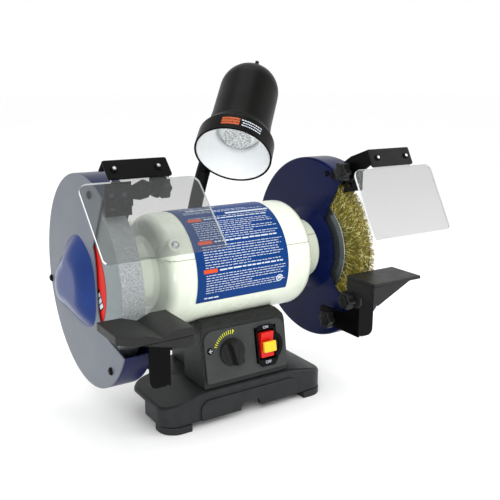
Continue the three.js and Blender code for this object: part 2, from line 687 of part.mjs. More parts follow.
// ---- eye shields ------------------------------------------------------------------------------
// The shield and its clamp are drawn upright at the shield's upper edge and then tilted back.
function tiltedBack(solid, degrees, top) {
  const geometry = toGeometry(solid).rotateX((-degrees * Math.PI) / 180);
  return toSolid(geometry.translate(0, ...top));
}
const SHIELD_SHEET = 2.6;
function shieldPlate() {
  const pane = roundedRect(SIDE_X - SHIELD_HALF + 3, -SHIELD_HEIGHT, SIDE_X + SHIELD_HALF + 3, 0, 6);
  const tab = roundedRect(SIDE_X - 26, -6, SIDE_X + 31, 19, 2);
  return join(sheetY(pane, 0, SHIELD_SHEET, 4), sheetY(tab, 0, SHIELD_SHEET, 2));
}
const CLAMP_FRONT = -2 - GAP;
const CLAMP_END = SIDE_X + 34.5;
const CLAMP_HEIGHT = 23;
function shieldClamp() {
  const front = sheetY(roundedRect(ARM_X0, 1, CLAMP_END, CLAMP_HEIGHT, 2.5), CLAMP_FRONT, -GAP, 3);
  const top = box([ARM_X0, CLAMP_FRONT, CLAMP_HEIGHT - 2.5], [CLAMP_END, 12, CLAMP_HEIGHT - 0.5]);
  return join(front, top);
}
function shieldArm(degrees, top) {
  const lift = (degrees * Math.PI) / 180;
  const at = (y, z) => [
    top[0] + y * Math.cos(lift) + z * Math.sin(lift),
    top[1] - y * Math.sin(lift) + z * Math.cos(lift),
  ];
  const [py, pz] = SHIELD_PIVOT;
  const bar = outline([
    at(-2, CLAMP_HEIGHT - 0.5),
    at(-2, 5),
    [py - 8, pz - 9],
    [py + 5, pz - 9],
    [py + 9, pz - 3],
    [py + 9, pz + 10],
    [py - 4, pz + 18],
  ]);
  const hole = placed(rod(120, 150, 3.4, 12), SHIELD_PIVOT);
  return cut(sheetX(bar, ARM_X0, ARM_X0 + 3), hole);
}
for (const [side, label, tilt, top] of [
  [-1, "left", SHIELD_TILT_LEFT, SHIELD_TOP_LEFT],
  [1, "right", SHIELD_TILT_RIGHT, SHIELD_TOP_RIGHT],
]) {
  part(`eye_shield_${label}`, onSide(side, tiltedBack(shieldPlate(), tilt, top)), CLEAR);
  const bracket = join(tiltedBack(shieldClamp(), tilt, top), shieldArm(tilt, top));
  part(`eye_shield_bracket_${label}`, onSide(side, bracket), BLACK_STEEL);
}

// Six-lobed clamp knob on a bolt along X, whose head ends at x1 and whose bolt tip is at tip.
function clampKnob(x0, x1, tip, radius) {
  const lobes = [0, 1, 2].map((i) => {
    const lobe = new THREE.BoxGeometry(x1 - x0, 2 * radius, radius * 0.62);
    return toSolid(lobe.translate((x0 + x1) / 2, 0, 0).rotateX((i * Math.PI) / 3));
  });
  return join(...lobes, rod(x1 - 1, tip, 3, 12));
}
const shieldKnob = placed(clampKnob(ARM_X0 - 15, ARM_X0 - 1, GUARD_INNER_X + 1.5, 12), SHIELD_PIVOT);
part("shield_knob_left", onSide(-1, shieldKnob), BLACK_PLASTIC);
part("shield_knob_right", shieldKnob, BLACK_PLASTIC);

// ---- tool rests -------------------------------------------------------------------------------
const ARM_SHEET = [129, 132];
const ARM_TRAVEL = 18; // how far the arm slides forward from its stored place
function restArm() {
  const web = outline([
    [-121, -90],
    [-46, -90],
    [-46, -68],
    [-100, -65],
    [-100, -36],
    [-106, -31],
    [-116, -31],
    [-121, -34],
  ]);
  const flange = sheetY(roundedRect(ARM_SHEET[0], -90, ARM_SHEET[0] + 24, -34, 8), -121, -118, 4);
  const [slotY, slotZ] = ARM_BOLT;
  const slotEnd = slotY + ARM_TRAVEL;
  const slotPlan = roundedRect(slotY - 3.6, slotZ - 3.6, slotEnd + 3.6, slotZ + 3.6, 3.4);
  const slot = sheetX(slotPlan, 120, 140, 4);
  const pivotHole = placed(rod(120, 140, 3.4, 12), REST_PIVOT);
  return cut(join(sheetX(web, ...ARM_SHEET), flange), slot, pivotHole);
}
const LEG_SHEET = [125.5, 128.5];
// The left rest is the deeper one, and has a V groove for drill bits across a thicker plate.
function toolRest(grooved) {
  const thickness = grooved ? 9 : 4;
  const [z0, z1] = [REST_TOP_Z - thickness, REST_TOP_Z];
  const front = REST_BACK_Y - (grooved ? GROOVED_REST_DEPTH : REST_DEPTH);
  const webBottom = grooved ? z1 - 19 : z1 - 26;
  const taper = grooved ? 14 : 0;
  const plan = outline([
    [REST_INNER_X, front],
    [REST_OUTER_X - taper, front],
    [REST_OUTER_X, front + taper],
    [REST_OUTER_X, REST_BACK_Y],
    [REST_INNER_X, REST_BACK_Y],
  ]);
  const top = sheetZ(plan, z0, z1);
  const web = sheetY(
    outline([
      [REST_INNER_X, z0 + 1],
      [REST_INNER_X, webBottom],
      [REST_INNER_X + 8, webBottom - 2],
      [REST_OUTER_X - 16, z0 + 1],
    ]),
    front + 0.5,
    front + 3.5,
  );
  const leg = sheetX(
    outline([
      [-126, z0 + 1],
      [-126, -46],
      [-120, -52],
      [-104, -52],
      [-100, -46],
      [-100, -30],
      [REST_BACK_Y, z0 + 1],
    ]),
    ...LEG_SHEET,
  );
  const corner = box([LEG_SHEET[0], front + 0.5, webBottom + 2], [LEG_SHEET[1], -124, z0 + 1]);
  const hole = placed(rod(110, 140, 3.4, 12), REST_PIVOT);
  const body = cut(join(top, web, leg, corner), hole);
  if (!grooved) return body;
  const groove = sheetY(
    outline([[SIDE_X - 18, z1 + 1], [SIDE_X - 1, z1 - 6], [SIDE_X + 19, z1 + 1]]),
    front - 5,
    REST_BACK_Y + 5,
  );
  return cut(body, groove);
}
const tiltKnob = placed(clampKnob(LEG_SHEET[0] - 16, LEG_SHEET[0] - 1, ARM_SHEET[1] + 4, 12), REST_PIVOT);
const armKnob = placed(clampKnob(ARM_SHEET[0] - 15, ARM_SHEET[0] - 1, GUARD_INNER_X + 3, 12), ARM_BOLT);
for (const [side, label] of [[-1, "left"], [1, "right"]]) {
  part(`rest_arm_${label}`, onSide(side, restArm()), BLACK_STEEL);
  part(`tool_rest_${label}`, onSide(side, toolRest(side < 0)), BLACK_STEEL);
  part(`rest_tilt_knob_${label}`, onSide(side, tiltKnob), BLACK_PLASTIC);
  part(`rest_arm_knob_${label}`, onSide(side, armKnob), BLACK_PLASTIC);
}

// ---- lamp -------------------------------------------------------------------------------------
// The gooseneck's centre line: upright at its foot, leaning over to +X as it rises.
const LEAN = 0.001036;
const neckAt = (z) => new THREE.Vector3(-0.7 + LEAN * (z + 60) ** 2, NECK_Y, z);
function neckTube(z0, z1) {
  const points = [0, 1 / 3, 2 / 3, 1].map((t) => neckAt(z0 + (z1 - z0) * t));
  const path = new THREE.CatmullRomCurve3(points);
  const section = new THREE.Shape();
  section.absarc(0, 0, NECK_RADIUS, 0, 2 * Math.PI);
  const options = { extrudePath: path, steps: 4, bevelEnabled: false, curveSegments: 10 };
  return toSolid(fixWinding(withIndex(new THREE.ExtrudeGeometry(section, options))));
}
function withIndex(geometry) {
  for (const key of Object.keys(geometry.attributes)) if (key !== "position") geometry.deleteAttribute(key);
  return mergeVertices(geometry, 1e-4);
}
const NECK_JOINTS = [10, 75]; // heights of the two bending points
const BEND_ROOM = 3; // clear height above a bending point, so that the next length can lean
const NECK_HEAD_Z = 114.2;
const BALL_Z = 126; // centre of the lamp's swivel ball
const BALL_RADIUS = 11;

const socketProfile = [
  [-82, 0],
  [-82, 14],
  [-60, 13],
  [-60, NECK_RADIUS + GAP],
  [NECK_FOOT_Z - GAP, NECK_RADIUS + GAP],
  [NECK_FOOT_Z - GAP, 0],
];
const socketRing = turnedUp(socketProfile, neckAt(-60).x, NECK_Y, 20);
const socketShelf = box([-14, PEDESTAL_BACK + GAP, -82], [13, NECK_Y, -74]);
const socketPad = box([-14, PEDESTAL_BACK + GAP, -100], [13, PEDESTAL_BACK + 5, -74]);
part("lamp_socket", join(socketRing, socketShelf, socketPad), BLACK_STEEL);
part("gooseneck_lower", neckTube(NECK_FOOT_Z, NECK_JOINTS[0] - GAP), BLACK_PLASTIC);
part("gooseneck_middle", neckTube(NECK_JOINTS[0] + BEND_ROOM, NECK_JOINTS[1] - GAP), BLACK_PLASTIC);
part("gooseneck_upper", neckTube(NECK_JOINTS[1] + BEND_ROOM, NECK_HEAD_Z), BLACK_PLASTIC);

// The lamp head is turned about X and then aimed, with x = 0 at its mouth.
const head = new THREE.Group();
head.position.copy(LAMP_MOUTH);
head.quaternion.setFromUnitVectors(new THREE.Vector3(1, 0, 0), LAMP_AXIS);
group.add(head);
head.updateMatrixWorld(true);

const DOME_CENTRE = SHADE_LENGTH - SHADE_BODY_RADIUS;
const DOME_STEPS = 4;
function shadeProfile(shrink, mouthX) {
  const body = SHADE_BODY_RADIUS - shrink;
  const mouth = SHADE_MOUTH_RADIUS - shrink;
  const points = [[mouthX, mouth], [24, mouth - 0.5], [40, body + 0.8]];
  for (let i = 0; i <= DOME_STEPS; i++) {
    const angle = (i * Math.PI) / (2 * DOME_STEPS);
    points.push([DOME_CENTRE + body * Math.sin(angle), i === DOME_STEPS ? 0 : body * Math.cos(angle)]);
  }
  return points;
}
// Swings something drawn at the top of the dome to the switch's place, which faces up and to the right.
const SWITCH_DIRECTION = new THREE.Vector3(0.309, 0, 0.951);
function onDome(solid) {
  const up = SWITCH_DIRECTION.clone().applyQuaternion(head.quaternion.clone().invert());
  const swing = new THREE.Quaternion().setFromUnitVectors(new THREE.Vector3(1, 0, 0), up);
  const geometry = toGeometry(solid).translate(-DOME_CENTRE, 0, 0).applyQuaternion(swing);
  return toSolid(geometry.translate(DOME_CENTRE, 0, 0));
}
function lampShade() {
  const shell = turned([[0, 0], ...shadeProfile(0, 0)], 24);
  const inside = turned([[-1, 0], ...shadeProfile(SHADE_WALL, -1)], 24);
  const switchHole = onDome(rod(SHADE_LENGTH - 12, SHADE_LENGTH + 5, 3, 12));
  const centre = head.worldToLocal(neckAt(BALL_Z));
  const ball = toSolid(fixWinding(new THREE.SphereGeometry(BALL_RADIUS, 14, 10).translate(...centre)));
  return cut(join(shell, ball), inside, switchHole);
}
part("lamp_shade", lampShade(), BLACK_PLASTIC, head);

const reflector = turned(
  [
    [1, SHADE_MOUTH_RADIUS - SHADE_WALL - GAP],
    [24, SHADE_MOUTH_RADIUS - SHADE_WALL - GAP - 0.5],
    [39, SHADE_BODY_RADIUS - SHADE_WALL - GAP],
    [39, 28],
    [22, SHADE_MOUTH_RADIUS - SHADE_WALL - 4.5],
    [1, SHADE_MOUTH_RADIUS - SHADE_WALL - 1.8],
  ],
  24,
);
part("lamp_reflector", reflector, WHITE_ENAMEL, head);

const ledBoard = turned(
  [
    [33, 0],
    [33, 17],
    [37.5, 18],
    [39 + GAP, 26],
    [41, SHADE_BODY_RADIUS - 4],
    [41, 0],
  ],
  24,
);
part("led_board", ledBoard, WHITE_ENAMEL, head);
const button = turned(
  [
    [SHADE_LENGTH - 14, 0],
    [SHADE_LENGTH - 14, 6],
    [SHADE_LENGTH - 12, 6],
    [SHADE_LENGTH - 12, 2.6],
    [SHADE_LENGTH + 3.4, 2.6],
    [SHADE_LENGTH + 4.2, 1.8],
    [SHADE_LENGTH + 4.2, 0],
  ],
  16,
);
part("lamp_switch", onDome(button), BLACK_PLASTIC, head);

// ---- put the origin at the bottom centre of the bounding box -----------------------------------
group.updateMatrixWorld(true);
const bounds = new THREE.Box3().setFromObject(group, true);
const centre = bounds.getCenter(new THREE.Vector3());
group.position.set(-centre.x, -centre.y, -bounds.min.z);
group.updateMatrixWorld(true);

export default group;
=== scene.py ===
"""Bench grinder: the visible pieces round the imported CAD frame.

Pieces are drawn in millimetres about the middle of the spindle (X along the spindle, -Y towards the
operator, +Z up) and stored in metres in the CAD's own frame. Directions (y, z) are seen from +X.
"""
import math
import random

import bmesh
import bpy
from mathutils import Matrix, Vector


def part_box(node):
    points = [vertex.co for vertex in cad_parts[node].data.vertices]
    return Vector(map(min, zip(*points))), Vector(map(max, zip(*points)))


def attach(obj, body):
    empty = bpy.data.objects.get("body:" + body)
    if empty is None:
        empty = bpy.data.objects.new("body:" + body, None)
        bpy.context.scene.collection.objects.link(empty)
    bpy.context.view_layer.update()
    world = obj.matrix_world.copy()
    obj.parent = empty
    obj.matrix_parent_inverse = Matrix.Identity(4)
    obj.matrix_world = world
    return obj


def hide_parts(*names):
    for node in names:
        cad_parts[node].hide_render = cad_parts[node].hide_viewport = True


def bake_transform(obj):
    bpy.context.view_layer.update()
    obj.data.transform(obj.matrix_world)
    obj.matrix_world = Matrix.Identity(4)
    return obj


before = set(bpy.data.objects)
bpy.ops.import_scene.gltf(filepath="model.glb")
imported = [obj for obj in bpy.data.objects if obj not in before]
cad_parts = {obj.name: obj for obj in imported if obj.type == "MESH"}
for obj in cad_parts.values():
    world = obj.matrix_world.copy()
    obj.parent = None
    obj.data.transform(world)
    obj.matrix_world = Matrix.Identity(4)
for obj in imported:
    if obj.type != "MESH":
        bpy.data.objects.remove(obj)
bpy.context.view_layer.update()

random.seed(8)

# ---- driving dimensions, in millimetres
MM = 0.001
shaft_low, shaft_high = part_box("spindle_shaft")
SHAFT = (shaft_low + shaft_high) / 2


def extent(node):
    """The lowest and highest corners of a CAD node, in millimetres about the spindle."""
    low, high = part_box(node)
    return (low - SHAFT) / MM, (high - SHAFT) / MM


BASE_LOW, BASE_HIGH = extent("base_casting")
PEDESTAL_LOW, PEDESTAL_HIGH = extent("pedestal_casting")
HOUSING_HIGH = extent("motor_housing_lower")[1]
MOTOR_RADIUS = 68
BOSS_RADIUS = 39
BOSS_END = HOUSING_HIGH.x
SEAM_Z = HOUSING_HIGH.z + 0.15
LABEL_LOW, LABEL_HIGH = extent("rating_label")
WHEEL_LOW, WHEEL_HIGH = extent("grinding_wheel")
WHEEL_RADIUS = WHEEL_HIGH.z
BLOTTER_LOW, BLOTTER_HIGH = extent("wheel_blotter")
GUARD_LOW, GUARD_HIGH = extent("guard_right")
GUARD_RADIUS = GUARD_HIGH.y
GUARD_DISH_X = GUARD_LOW.x
GUARD_INNER_X = GUARD_DISH_X + 10  # the guard's inner plate, outside of its dished hub
COVER_END = extent("guard_cover_right")[1].x
COVER_X = COVER_END - 16  # the cover's flat face, inside of its bulge and screws
SHEET = 1.6
HUB_RADIUS = 55
SHIELD_PIVOT = (-92, 114)
REST_PIVOT = (-111, -42)
ARM_BOLT = (-70, -79)
PANEL_FOOT = (-70, -131)
PANEL_HEAD = (-58, -66)
CONTROL_Z = -95
DIAL_X = -21
SWITCH_X = 29
LAMP_MOUTH = Vector((33.8, 20.5, 127.2))
LAMP_AXIS = Vector((0.543, 0.506, 0.67)).normalized()
SHADE_LENGTH = 152
SHADE_RADIUS = 39.5
MOUTH_RADIUS = 49.8
NECK_Y = 82
NECK_RADIUS = 9.5
NECK_JOINTS = (10, 75)


# ---- materials
def linear(rgb):
    """A colour given in 8-bit display values as linear RGBA."""
    share = [c / 255 for c in rgb]
    return tuple(c / 12.92 if c < 0.04 else ((c + 0.055) / 1.055) ** 2.4 for c in share) + (1.0,)


def finish(
    name, rgb, roughness, metallic=0.0, mottle=(0.08, 14), grain=(0.1, 0.8), speckle=None, coat=0.0,
    coat_roughness=0.1, specular=0.5, alpha=1.0, stretch=(1, 1, 1),
):
    """A painted, moulded or metal surface: soft colour variation, uneven gloss and a fine grain.

    mottle is the share by which the colour varies and its size, grain the height of the bumps and
    their size, and speckle (colour, size, share) adds scattered spots. Sizes are in millimetres."""
    material = bpy.data.materials.new(name)
    material.use_nodes = True
    nodes, links = material.node_tree.nodes, material.node_tree.links
    shader = nodes["Principled BSDF"]
    place = nodes.new("ShaderNodeTexCoord")
    mapping = nodes.new("ShaderNodeMapping")
    mapping.inputs["Scale"].default_value = stretch
    links.new(place.outputs["Object"], mapping.inputs["Vector"])

    def noise(size, detail=3.0):
        node = nodes.new("ShaderNodeTexNoise")
        node.inputs["Scale"].default_value = 1 / (size * MM)
        node.inputs["Detail"].default_value = detail
        links.new(mapping.outputs["Vector"], node.inputs["Vector"])
        return node.outputs["Fac"]

    def mixed(factor, first, second):
        node = nodes.new("ShaderNodeMix")
        node.data_type = "RGBA"
        links.new(factor, node.inputs["Factor"])
        for socket, value in ((node.inputs["A"], first), (node.inputs["B"], second)):
            if isinstance(value, tuple):
                socket.default_value = value
            else:
                links.new(value, socket)
        return node.outputs["Result"]

    def ranged(factor, low, high, bottom, top):
        node = nodes.new("ShaderNodeMapRange")
        for socket, value in zip(("From Min", "From Max", "To Min", "To Max"), (low, high, bottom, top)):
            node.inputs[socket].default_value = value
        links.new(factor, node.inputs["Value"])
        return node.outputs["Result"]

    base = linear(rgb)
    dark = tuple(c * (1 - mottle[0]) for c in base[:3]) + (1.0,)
    light = tuple(min(1.0, c * (1 + mottle[0])) for c in base[:3]) + (1.0,)
    cloud = noise(mottle[1])
    colour = mixed(ranged(cloud, 0.35, 0.65, 0, 1), dark, light)
    if speckle:
        spot, size, share = speckle
        dots = ranged(noise(size, 1.0), 0.62 - share * 0.3, 0.66 - share * 0.3, 0, 1)
        colour = mixed(dots, colour, linear(spot))
    links.new(colour, shader.inputs["Base Color"])
    uneven = ranged(cloud, 0.3, 0.7, roughness * 0.88, min(1.0, roughness * 1.12))
    links.new(uneven, shader.inputs["Roughness"])
    bump = nodes.new("ShaderNodeBump")
    bump.inputs["Distance"].default_value = grain[0] * MM
    bump.inputs["Strength"].default_value = 1.0
    links.new(noise(grain[1]), bump.inputs["Height"])
    links.new(bump.outputs["Normal"], shader.inputs["Normal"])
    shader.inputs["Metallic"].default_value = metallic
    shader.inputs["Coat Weight"].default_value = coat
    shader.inputs["Coat Roughness"].default_value = coat_roughness
    shader.inputs["Specular IOR Level"].default_value = specular
    shader.inputs["Alpha"].default_value = alpha
    return material


CAST = finish("cast_black", (35, 37, 38), 0.42, mottle=(0.15, 14), grain=(0.12, 1.2), specular=0.2)
CRINKLE = finish("crinkle_black", (24, 25, 25), 0.45, mottle=(0.3, 5), grain=(1.2, 2.4), specular=0.3)
RUBBER = finish("foot_rubber", (35, 37, 38), 0.5, specular=0.2)
PANEL = finish("panel_plastic", (56, 58, 58), 0.45, grain=(0.1, 0.9), specular=0.2)
BLACK_PLASTIC = finish("black_plastic", (7, 7, 8), 0.4, grain=(0.06, 0.7), specular=0.1)
KNOB = finish("knob_plastic", (24, 24, 25), 0.34, grain=(0.08, 0.7), specular=0.2)
RED = finish("red_plastic", (205, 24, 18), 0.28, mottle=(0.05, 14), grain=(0.03, 0.8), specular=0.3)
YELLOW = finish("yellow_plastic", (248, 194, 38), 0.32, mottle=(0.05, 14), grain=(0.03, 0.8), specular=0.3)
CREAM = finish("cream_paint", (229, 236, 219), 0.26, mottle=(0.01, 40), grain=(0.01, 0.8), coat=0.25)
LABEL = finish("label_blue", (2, 54, 118), 0.34, mottle=(0.05, 20), grain=(0.01, 0.8), specular=0.12)
PRINT_WHITE = finish(
    "print_white", (205, 212, 220), 0.5, mottle=(0.03, 14), grain=(0.005, 0.8), specular=0.2,
)
PRINT_ORANGE = finish(
    "print_orange", (214, 78, 30), 0.5, mottle=(0.04, 14), grain=(0.005, 0.8), specular=0.2,
)
PRINT_AMBER = finish("print_amber", (172, 78, 34), 0.5, mottle=(0.3, 1.5), grain=(0.3, 1.5), specular=0.2)
PRINT_YELLOW = finish(
    "print_yellow", (226, 228, 16), 0.5, mottle=(0.04, 14), grain=(0.005, 0.8), specular=0.2,
)
BLUE = finish(
    "blue_paint", (8, 19, 62), 0.3, mottle=(0.12, 40), grain=(0.05, 3), coat=0.06, coat_roughness=0.06,
    specular=0.08,
)
# The cover plates carry the guards' blue paint greyed and lightened: a painted reflection of the pale
# surroundings on their flat faces.
COVER_BLUE_PAINTED_REFLECTION = finish(
    "cover_paint_painted_reflection", (80, 88, 100), 0.42, mottle=(0.06, 50), grain=(0.04, 2), coat=0.2,
    coat_roughness=0.2, specular=0.4,
)
# The bulge is the same blue paint as the guards and cover plates in a lighter, more vivid colour: painted
# light on the face that turns to the viewer.
BULGE_BLUE_PAINTED_LIGHT = finish(
    "bulge_paint_painted_light", (26, 50, 108), 0.24, mottle=(0.1, 30), grain=(0.02, 3), coat=0.04,
    coat_roughness=0.05, specular=0.1,
)
STEEL_BLACK = finish("black_steel", (5, 5, 6), 0.34, grain=(0.04, 1.5), specular=0.07)
REST_PAINT = finish("rest_paint", (30, 31, 30), 0.45, mottle=(0.12, 14), grain=(0.1, 1.2), specular=0.2)
STEEL = finish("bright_steel", (178, 182, 186), 0.28, metallic=0.85, grain=(0.02, 0.8), stretch=(1, 6, 6))
HUB_STEEL = finish("hub_steel", (104, 112, 116), 0.3, metallic=0.8, mottle=(0.03, 14), grain=(0.01, 3))
LAMINATION = finish("lamination", (120, 122, 126), 0.55, metallic=0.8, stretch=(12, 1, 1))
COPPER = finish("copper_wire", (190, 116, 62), 0.4, metallic=0.9, stretch=(1, 8, 8))
ABRASIVE = finish(
    "abrasive", (146, 151, 152), 0.92, mottle=(0.1, 2.0), grain=(0.4, 0.9),
    speckle=((176, 181, 182), 1.0, 0.35), specular=0.2,
)
ABRASIVE_SIDE = finish(
    "abrasive_side", (132, 140, 141), 0.8, mottle=(0.05, 6), grain=(0.2, 1.0), specular=0.2,
)
BLOTTER = finish("blotter_paper", (206, 26, 14), 0.55, mottle=(0.08, 8), grain=(0.03, 0.8), specular=0.3)
# A darker copy of the brass wire: painted shade deep in the brush, on its core and on some wires.
BRASS_PAINTED_SHADE = finish("brass_wire_painted_shade", (104, 96, 30), 0.5, metallic=0.2, mottle=(0.35, 2))
BRASS = finish("brass_wire", (178, 164, 66), 0.36, metallic=0.3, mottle=(0.3, 3))
# A pale copy of the brass wire: painted glints on single wires.
BRASS_PAINTED_GLINT = finish("brass_wire_painted_glint", (244, 234, 168), 0.3, metallic=0.2, mottle=(0.2, 3))
CLEAR = finish(
    "clear_plastic", (84, 86, 85), 0.08, mottle=(0.04, 60), grain=(0.002, 0.8), specular=0.25, alpha=0.3,
)
# Near-white, nearly opaque plastic for the panes' cut edges: a painted highlight along them.
CLEAR_EDGE_HIGHLIGHT = finish(
    "clear_plastic_edge_highlight", (236, 240, 240), 0.25, mottle=(0.05, 14), grain=(0.01, 0.8), alpha=0.9,
)
LAMP_BLACK = finish("lamp_black", (4, 4, 3), 0.36, mottle=(0.1, 30), grain=(0.03, 0.8), specular=0.08)
REFLECTOR = finish("reflector_white", (251, 253, 254), 0.3, mottle=(0.01, 30), grain=(0.02, 0.8))
LENS = finish("led_lens", (226, 234, 230), 0.12, mottle=(0.45, 2.8), grain=(0.3, 1.6), coat=0.8)
BOARD = finish("board_green", (50, 108, 72), 0.5, mottle=(0.15, 6), grain=(0.05, 0.8))


# ---- shapes
def fillet(points, radius=0.0, steps=4, closed=True):
    """Rounds the corners of an outline. A point's third value, if any, is its own radius."""
    result = []
    count = len(points)
    for i, point in enumerate(points):
        here = Vector(point[:2])
        r = point[2] if len(point) > 2 else radius
        if r <= 0 or (not closed and i in (0, count - 1)):
            result.append(tuple(here))
            continue
        to_last = Vector(points[i - 1][:2]) - here
        to_next = Vector(points[(i + 1) % count][:2]) - here
        half = to_last.angle(to_next) / 2
        if half > math.radians(89):
            result.append(tuple(here))
            continue
        reach = min(r / math.tan(half), to_last.length * 0.49, to_next.length * 0.49)
        r = reach * math.tan(half)
        middle = (to_last.normalized() + to_next.normalized()).normalized()
        centre = here + middle * (r / math.sin(half))
        start = here + to_last.normalized() * reach - centre
        end = here + to_next.normalized() * reach - centre
        sweep = math.pi - 2 * half
        for k in range(steps + 1):
            t = k / steps
            a, b = math.sin((1 - t) * sweep), math.sin(t * sweep)
            result.append(tuple(centre + (start * a + end * b) / math.sin(sweep)))
    return result


def rounded_rect(u0, v0, u1, v1, radius):
    return fillet([(u0, v0), (u1, v0), (u1, v1), (u0, v1)], radius, 5)


def mirrored(points):
    """Points followed by their mirror images in the first coordinate, in reverse."""
    return points + [(-p[0], *p[1:]) for p in reversed(points)]


def polar(radius, angle):
    return radius * math.cos(angle), radius * math.sin(angle)


def skin(rings, count, base=0):
    """Faces between successive rings of count vertices, of which the first ring starts at base."""
    faces = []
    for a in range(base, base + (rings - 1) * count, count):
        for k in range(count):
            n = (k + 1) % count
            faces.append((a + k, a + n, a + count + n, a + count + k))
    return faces


def lathe(profile, segments=96, closed=True):
    """A solid of revolution about X from (x, radius) points. An open profile ends on the axis."""
    verts, faces, rings = [], [], []
    for x, r in profile:
        if r < 1e-6:
            rings.append([len(verts)])
            verts.append((x, 0.0, 0.0))
            continue
        rings.append(list(range(len(verts), len(verts) + segments)))
        for k in range(segments):
            verts.append((x, *polar(r, 2 * math.pi * k / segments)))
    pairs = list(zip(rings, rings[1:]))
    if closed:
        pairs.append((rings[-1], rings[0]))
    for a, b in pairs:
        for k in range(segments):
            n = (k + 1) % segments
            if len(a) > 1 and len(b) > 1:
                faces.append((a[k], a[n], b[n], b[k]))
            elif len(a) > 1:
                faces.append((a[k], a[n], b[0]))
            elif len(b) > 1:
                faces.append((a[0], b[n], b[k]))
    return verts, faces


def prism(outline, low, high, axis="x"):
    """An outline drawn out along an axis: (y, z) along x, (x, z) along y, or (x, y) along z."""
    place = {"x": (2, 0, 1), "y": (0, 2, 1), "z": (0, 1, 2)}[axis]
    count = len(outline)
    verts = [tuple((u, v, w)[i] for i in place) for w in (low, high) for u, v in outline]
    faces = [tuple(range(count)), tuple(range(2 * count - 1, count - 1, -1))]
    for i in range(count):
        n = (i + 1) % count
        faces.append((i, i + count, n + count, n))
    return verts, faces


def box(low, high):
    (x0, y0, z0), (x1, y1, z1) = low, high
    return prism([(x0, y0), (x1, y0), (x1, y1), (x0, y1)], z0, z1, "z")


def moved(part, matrix):
    verts, faces = part
    return [tuple(matrix @ Vector(v)) for v in verts], faces


def shift(part, x=0, y=0, z=0):
    return moved(part, Matrix.Translation((x, y, z)))


def turned(points, segments=32, steps=3):
    """A solid of revolution from an open profile that starts and ends on the axis."""
    return lathe(fillet(points, 0, steps, closed=False), segments, closed=False)


def rod(x0, x1, radius, segments=32, edge=0.0):
    """A round bar along X with rounded ends."""
    return turned([(x0, 0), (x0, radius, edge), (x1, radius, edge), (x1, 0)], segments)


def linked(name, data):
    """A new object in the scene."""
    obj = bpy.data.objects.new(name, data)
    bpy.context.scene.collection.objects.link(obj)
    return obj


def raw_object(name, parts, merged=True):
    """A mesh object made of (vertices, faces) parts, in the frame's metres."""
    verts, faces = [], []
    for part_verts, part_faces in parts:
        start = len(verts)
        verts += [SHAFT + Vector(v) * MM for v in part_verts]
        faces += [tuple(i + start for i in face) for face in part_faces]
    data = bpy.data.meshes.new(name)
    data.from_pydata(verts, [], faces)
    if merged:
        clean(data)
    return linked(name, data)


def clean(data, dissolve=False):
    """Merges doubled points, turns the faces outwards and shades them smoothly."""
    mesh = bmesh.new()
    mesh.from_mesh(data)
    bmesh.ops.remove_doubles(mesh, verts=mesh.verts, dist=0.02 * MM)
    if dissolve:
        bmesh.ops.dissolve_limit(mesh, angle_limit=math.radians(0.5), verts=mesh.verts, edges=mesh.edges)
    bmesh.ops.recalc_face_normals(mesh, faces=mesh.faces)
    for face in mesh.faces:
        face.smooth = True
    mesh.to_mesh(data)
    mesh.free()


def carve(obj, parts, operation="DIFFERENCE"):
    """Cuts each closed part out of the object, or keeps only what is inside it."""
    for part in parts:
        cutter = raw_object("cutter", [part])
        modifier = obj.modifiers.new("carve", "BOOLEAN")
        modifier.operation = operation
        modifier.solver = "EXACT"
        modifier.object = cutter
        graph = bpy.context.evaluated_depsgraph_get()
        graph.update()
        data = bpy.data.meshes.new_from_object(obj.evaluated_get(graph))
        obj.modifiers.clear()
        obj.data = data
        bpy.data.objects.remove(cutter)
    clean(obj.data, dissolve=True)


def soften(obj, bevel, segments=2, angle=32):
    """Rounds the sharp edges and shades the rest smoothly."""
    if bevel:
        modifier = obj.modifiers.new("edges", "BEVEL")
        modifier.width = bevel * MM
        modifier.segments = segments
        modifier.limit_method = "ANGLE"
        modifier.angle_limit = math.radians(angle)
        modifier.use_clamp_overlap = False
    normals = obj.modifiers.new("normals", "WEIGHTED_NORMAL")
    normals.keep_sharp = True


def piece(name, body, material, parts, nodes=(), cuts=(), keep=(), bevel=0.0, segments=2, slot=None):
    """A visible piece that rides on a CAD body and stands for the given CAD nodes."""
    obj = raw_object(name, parts)
    if keep:
        carve(obj, keep, "INTERSECT")
    if cuts:
        carve(obj, cuts)
    obj.data.materials.clear()
    obj.data.materials.append(material)
    soften(obj, bevel, segments)
    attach(obj, body)
    if nodes:
        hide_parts(*nodes)
    return obj


def dress(node, material, bevel=0.5, segments=2):
    """Gives a CAD node a material, rounded edges and clean shading."""
    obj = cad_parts[node]
    obj.data.materials.clear()
    obj.data.materials.append(material)
    for polygon in obj.data.polygons:
        polygon.use_smooth = True
        polygon.material_index = 0
    weld = obj.modifiers.new("weld", "WELD")
    weld.merge_threshold = 0.01 * MM
    flat = obj.modifiers.new("flat", "DECIMATE")
    flat.decimate_type = "DISSOLVE"
    flat.angle_limit = math.radians(1)
    soften(obj, bevel, segments)
    return obj


def side_name(side):
    return "left" if side < 0 else "right"


def sided(side, parts):
    """Right-hand parts, mirrored for the left-hand side."""
    if side > 0:
        return parts
    mirror = Matrix.Diagonal((-1, 1, 1, 1))
    return [moved(part, mirror) for part in parts]


def towards(origin, direction, up=(0, 0, 1)):
    """The place of something drawn along +X, put at origin and pointing in a direction."""
    x = Vector(direction).normalized()
    y = Vector(up).cross(x).normalized()
    z = x.cross(y)
    turn = Matrix((x, y, z)).transposed().to_4x4()
    return Matrix.Translation(origin) @ turn


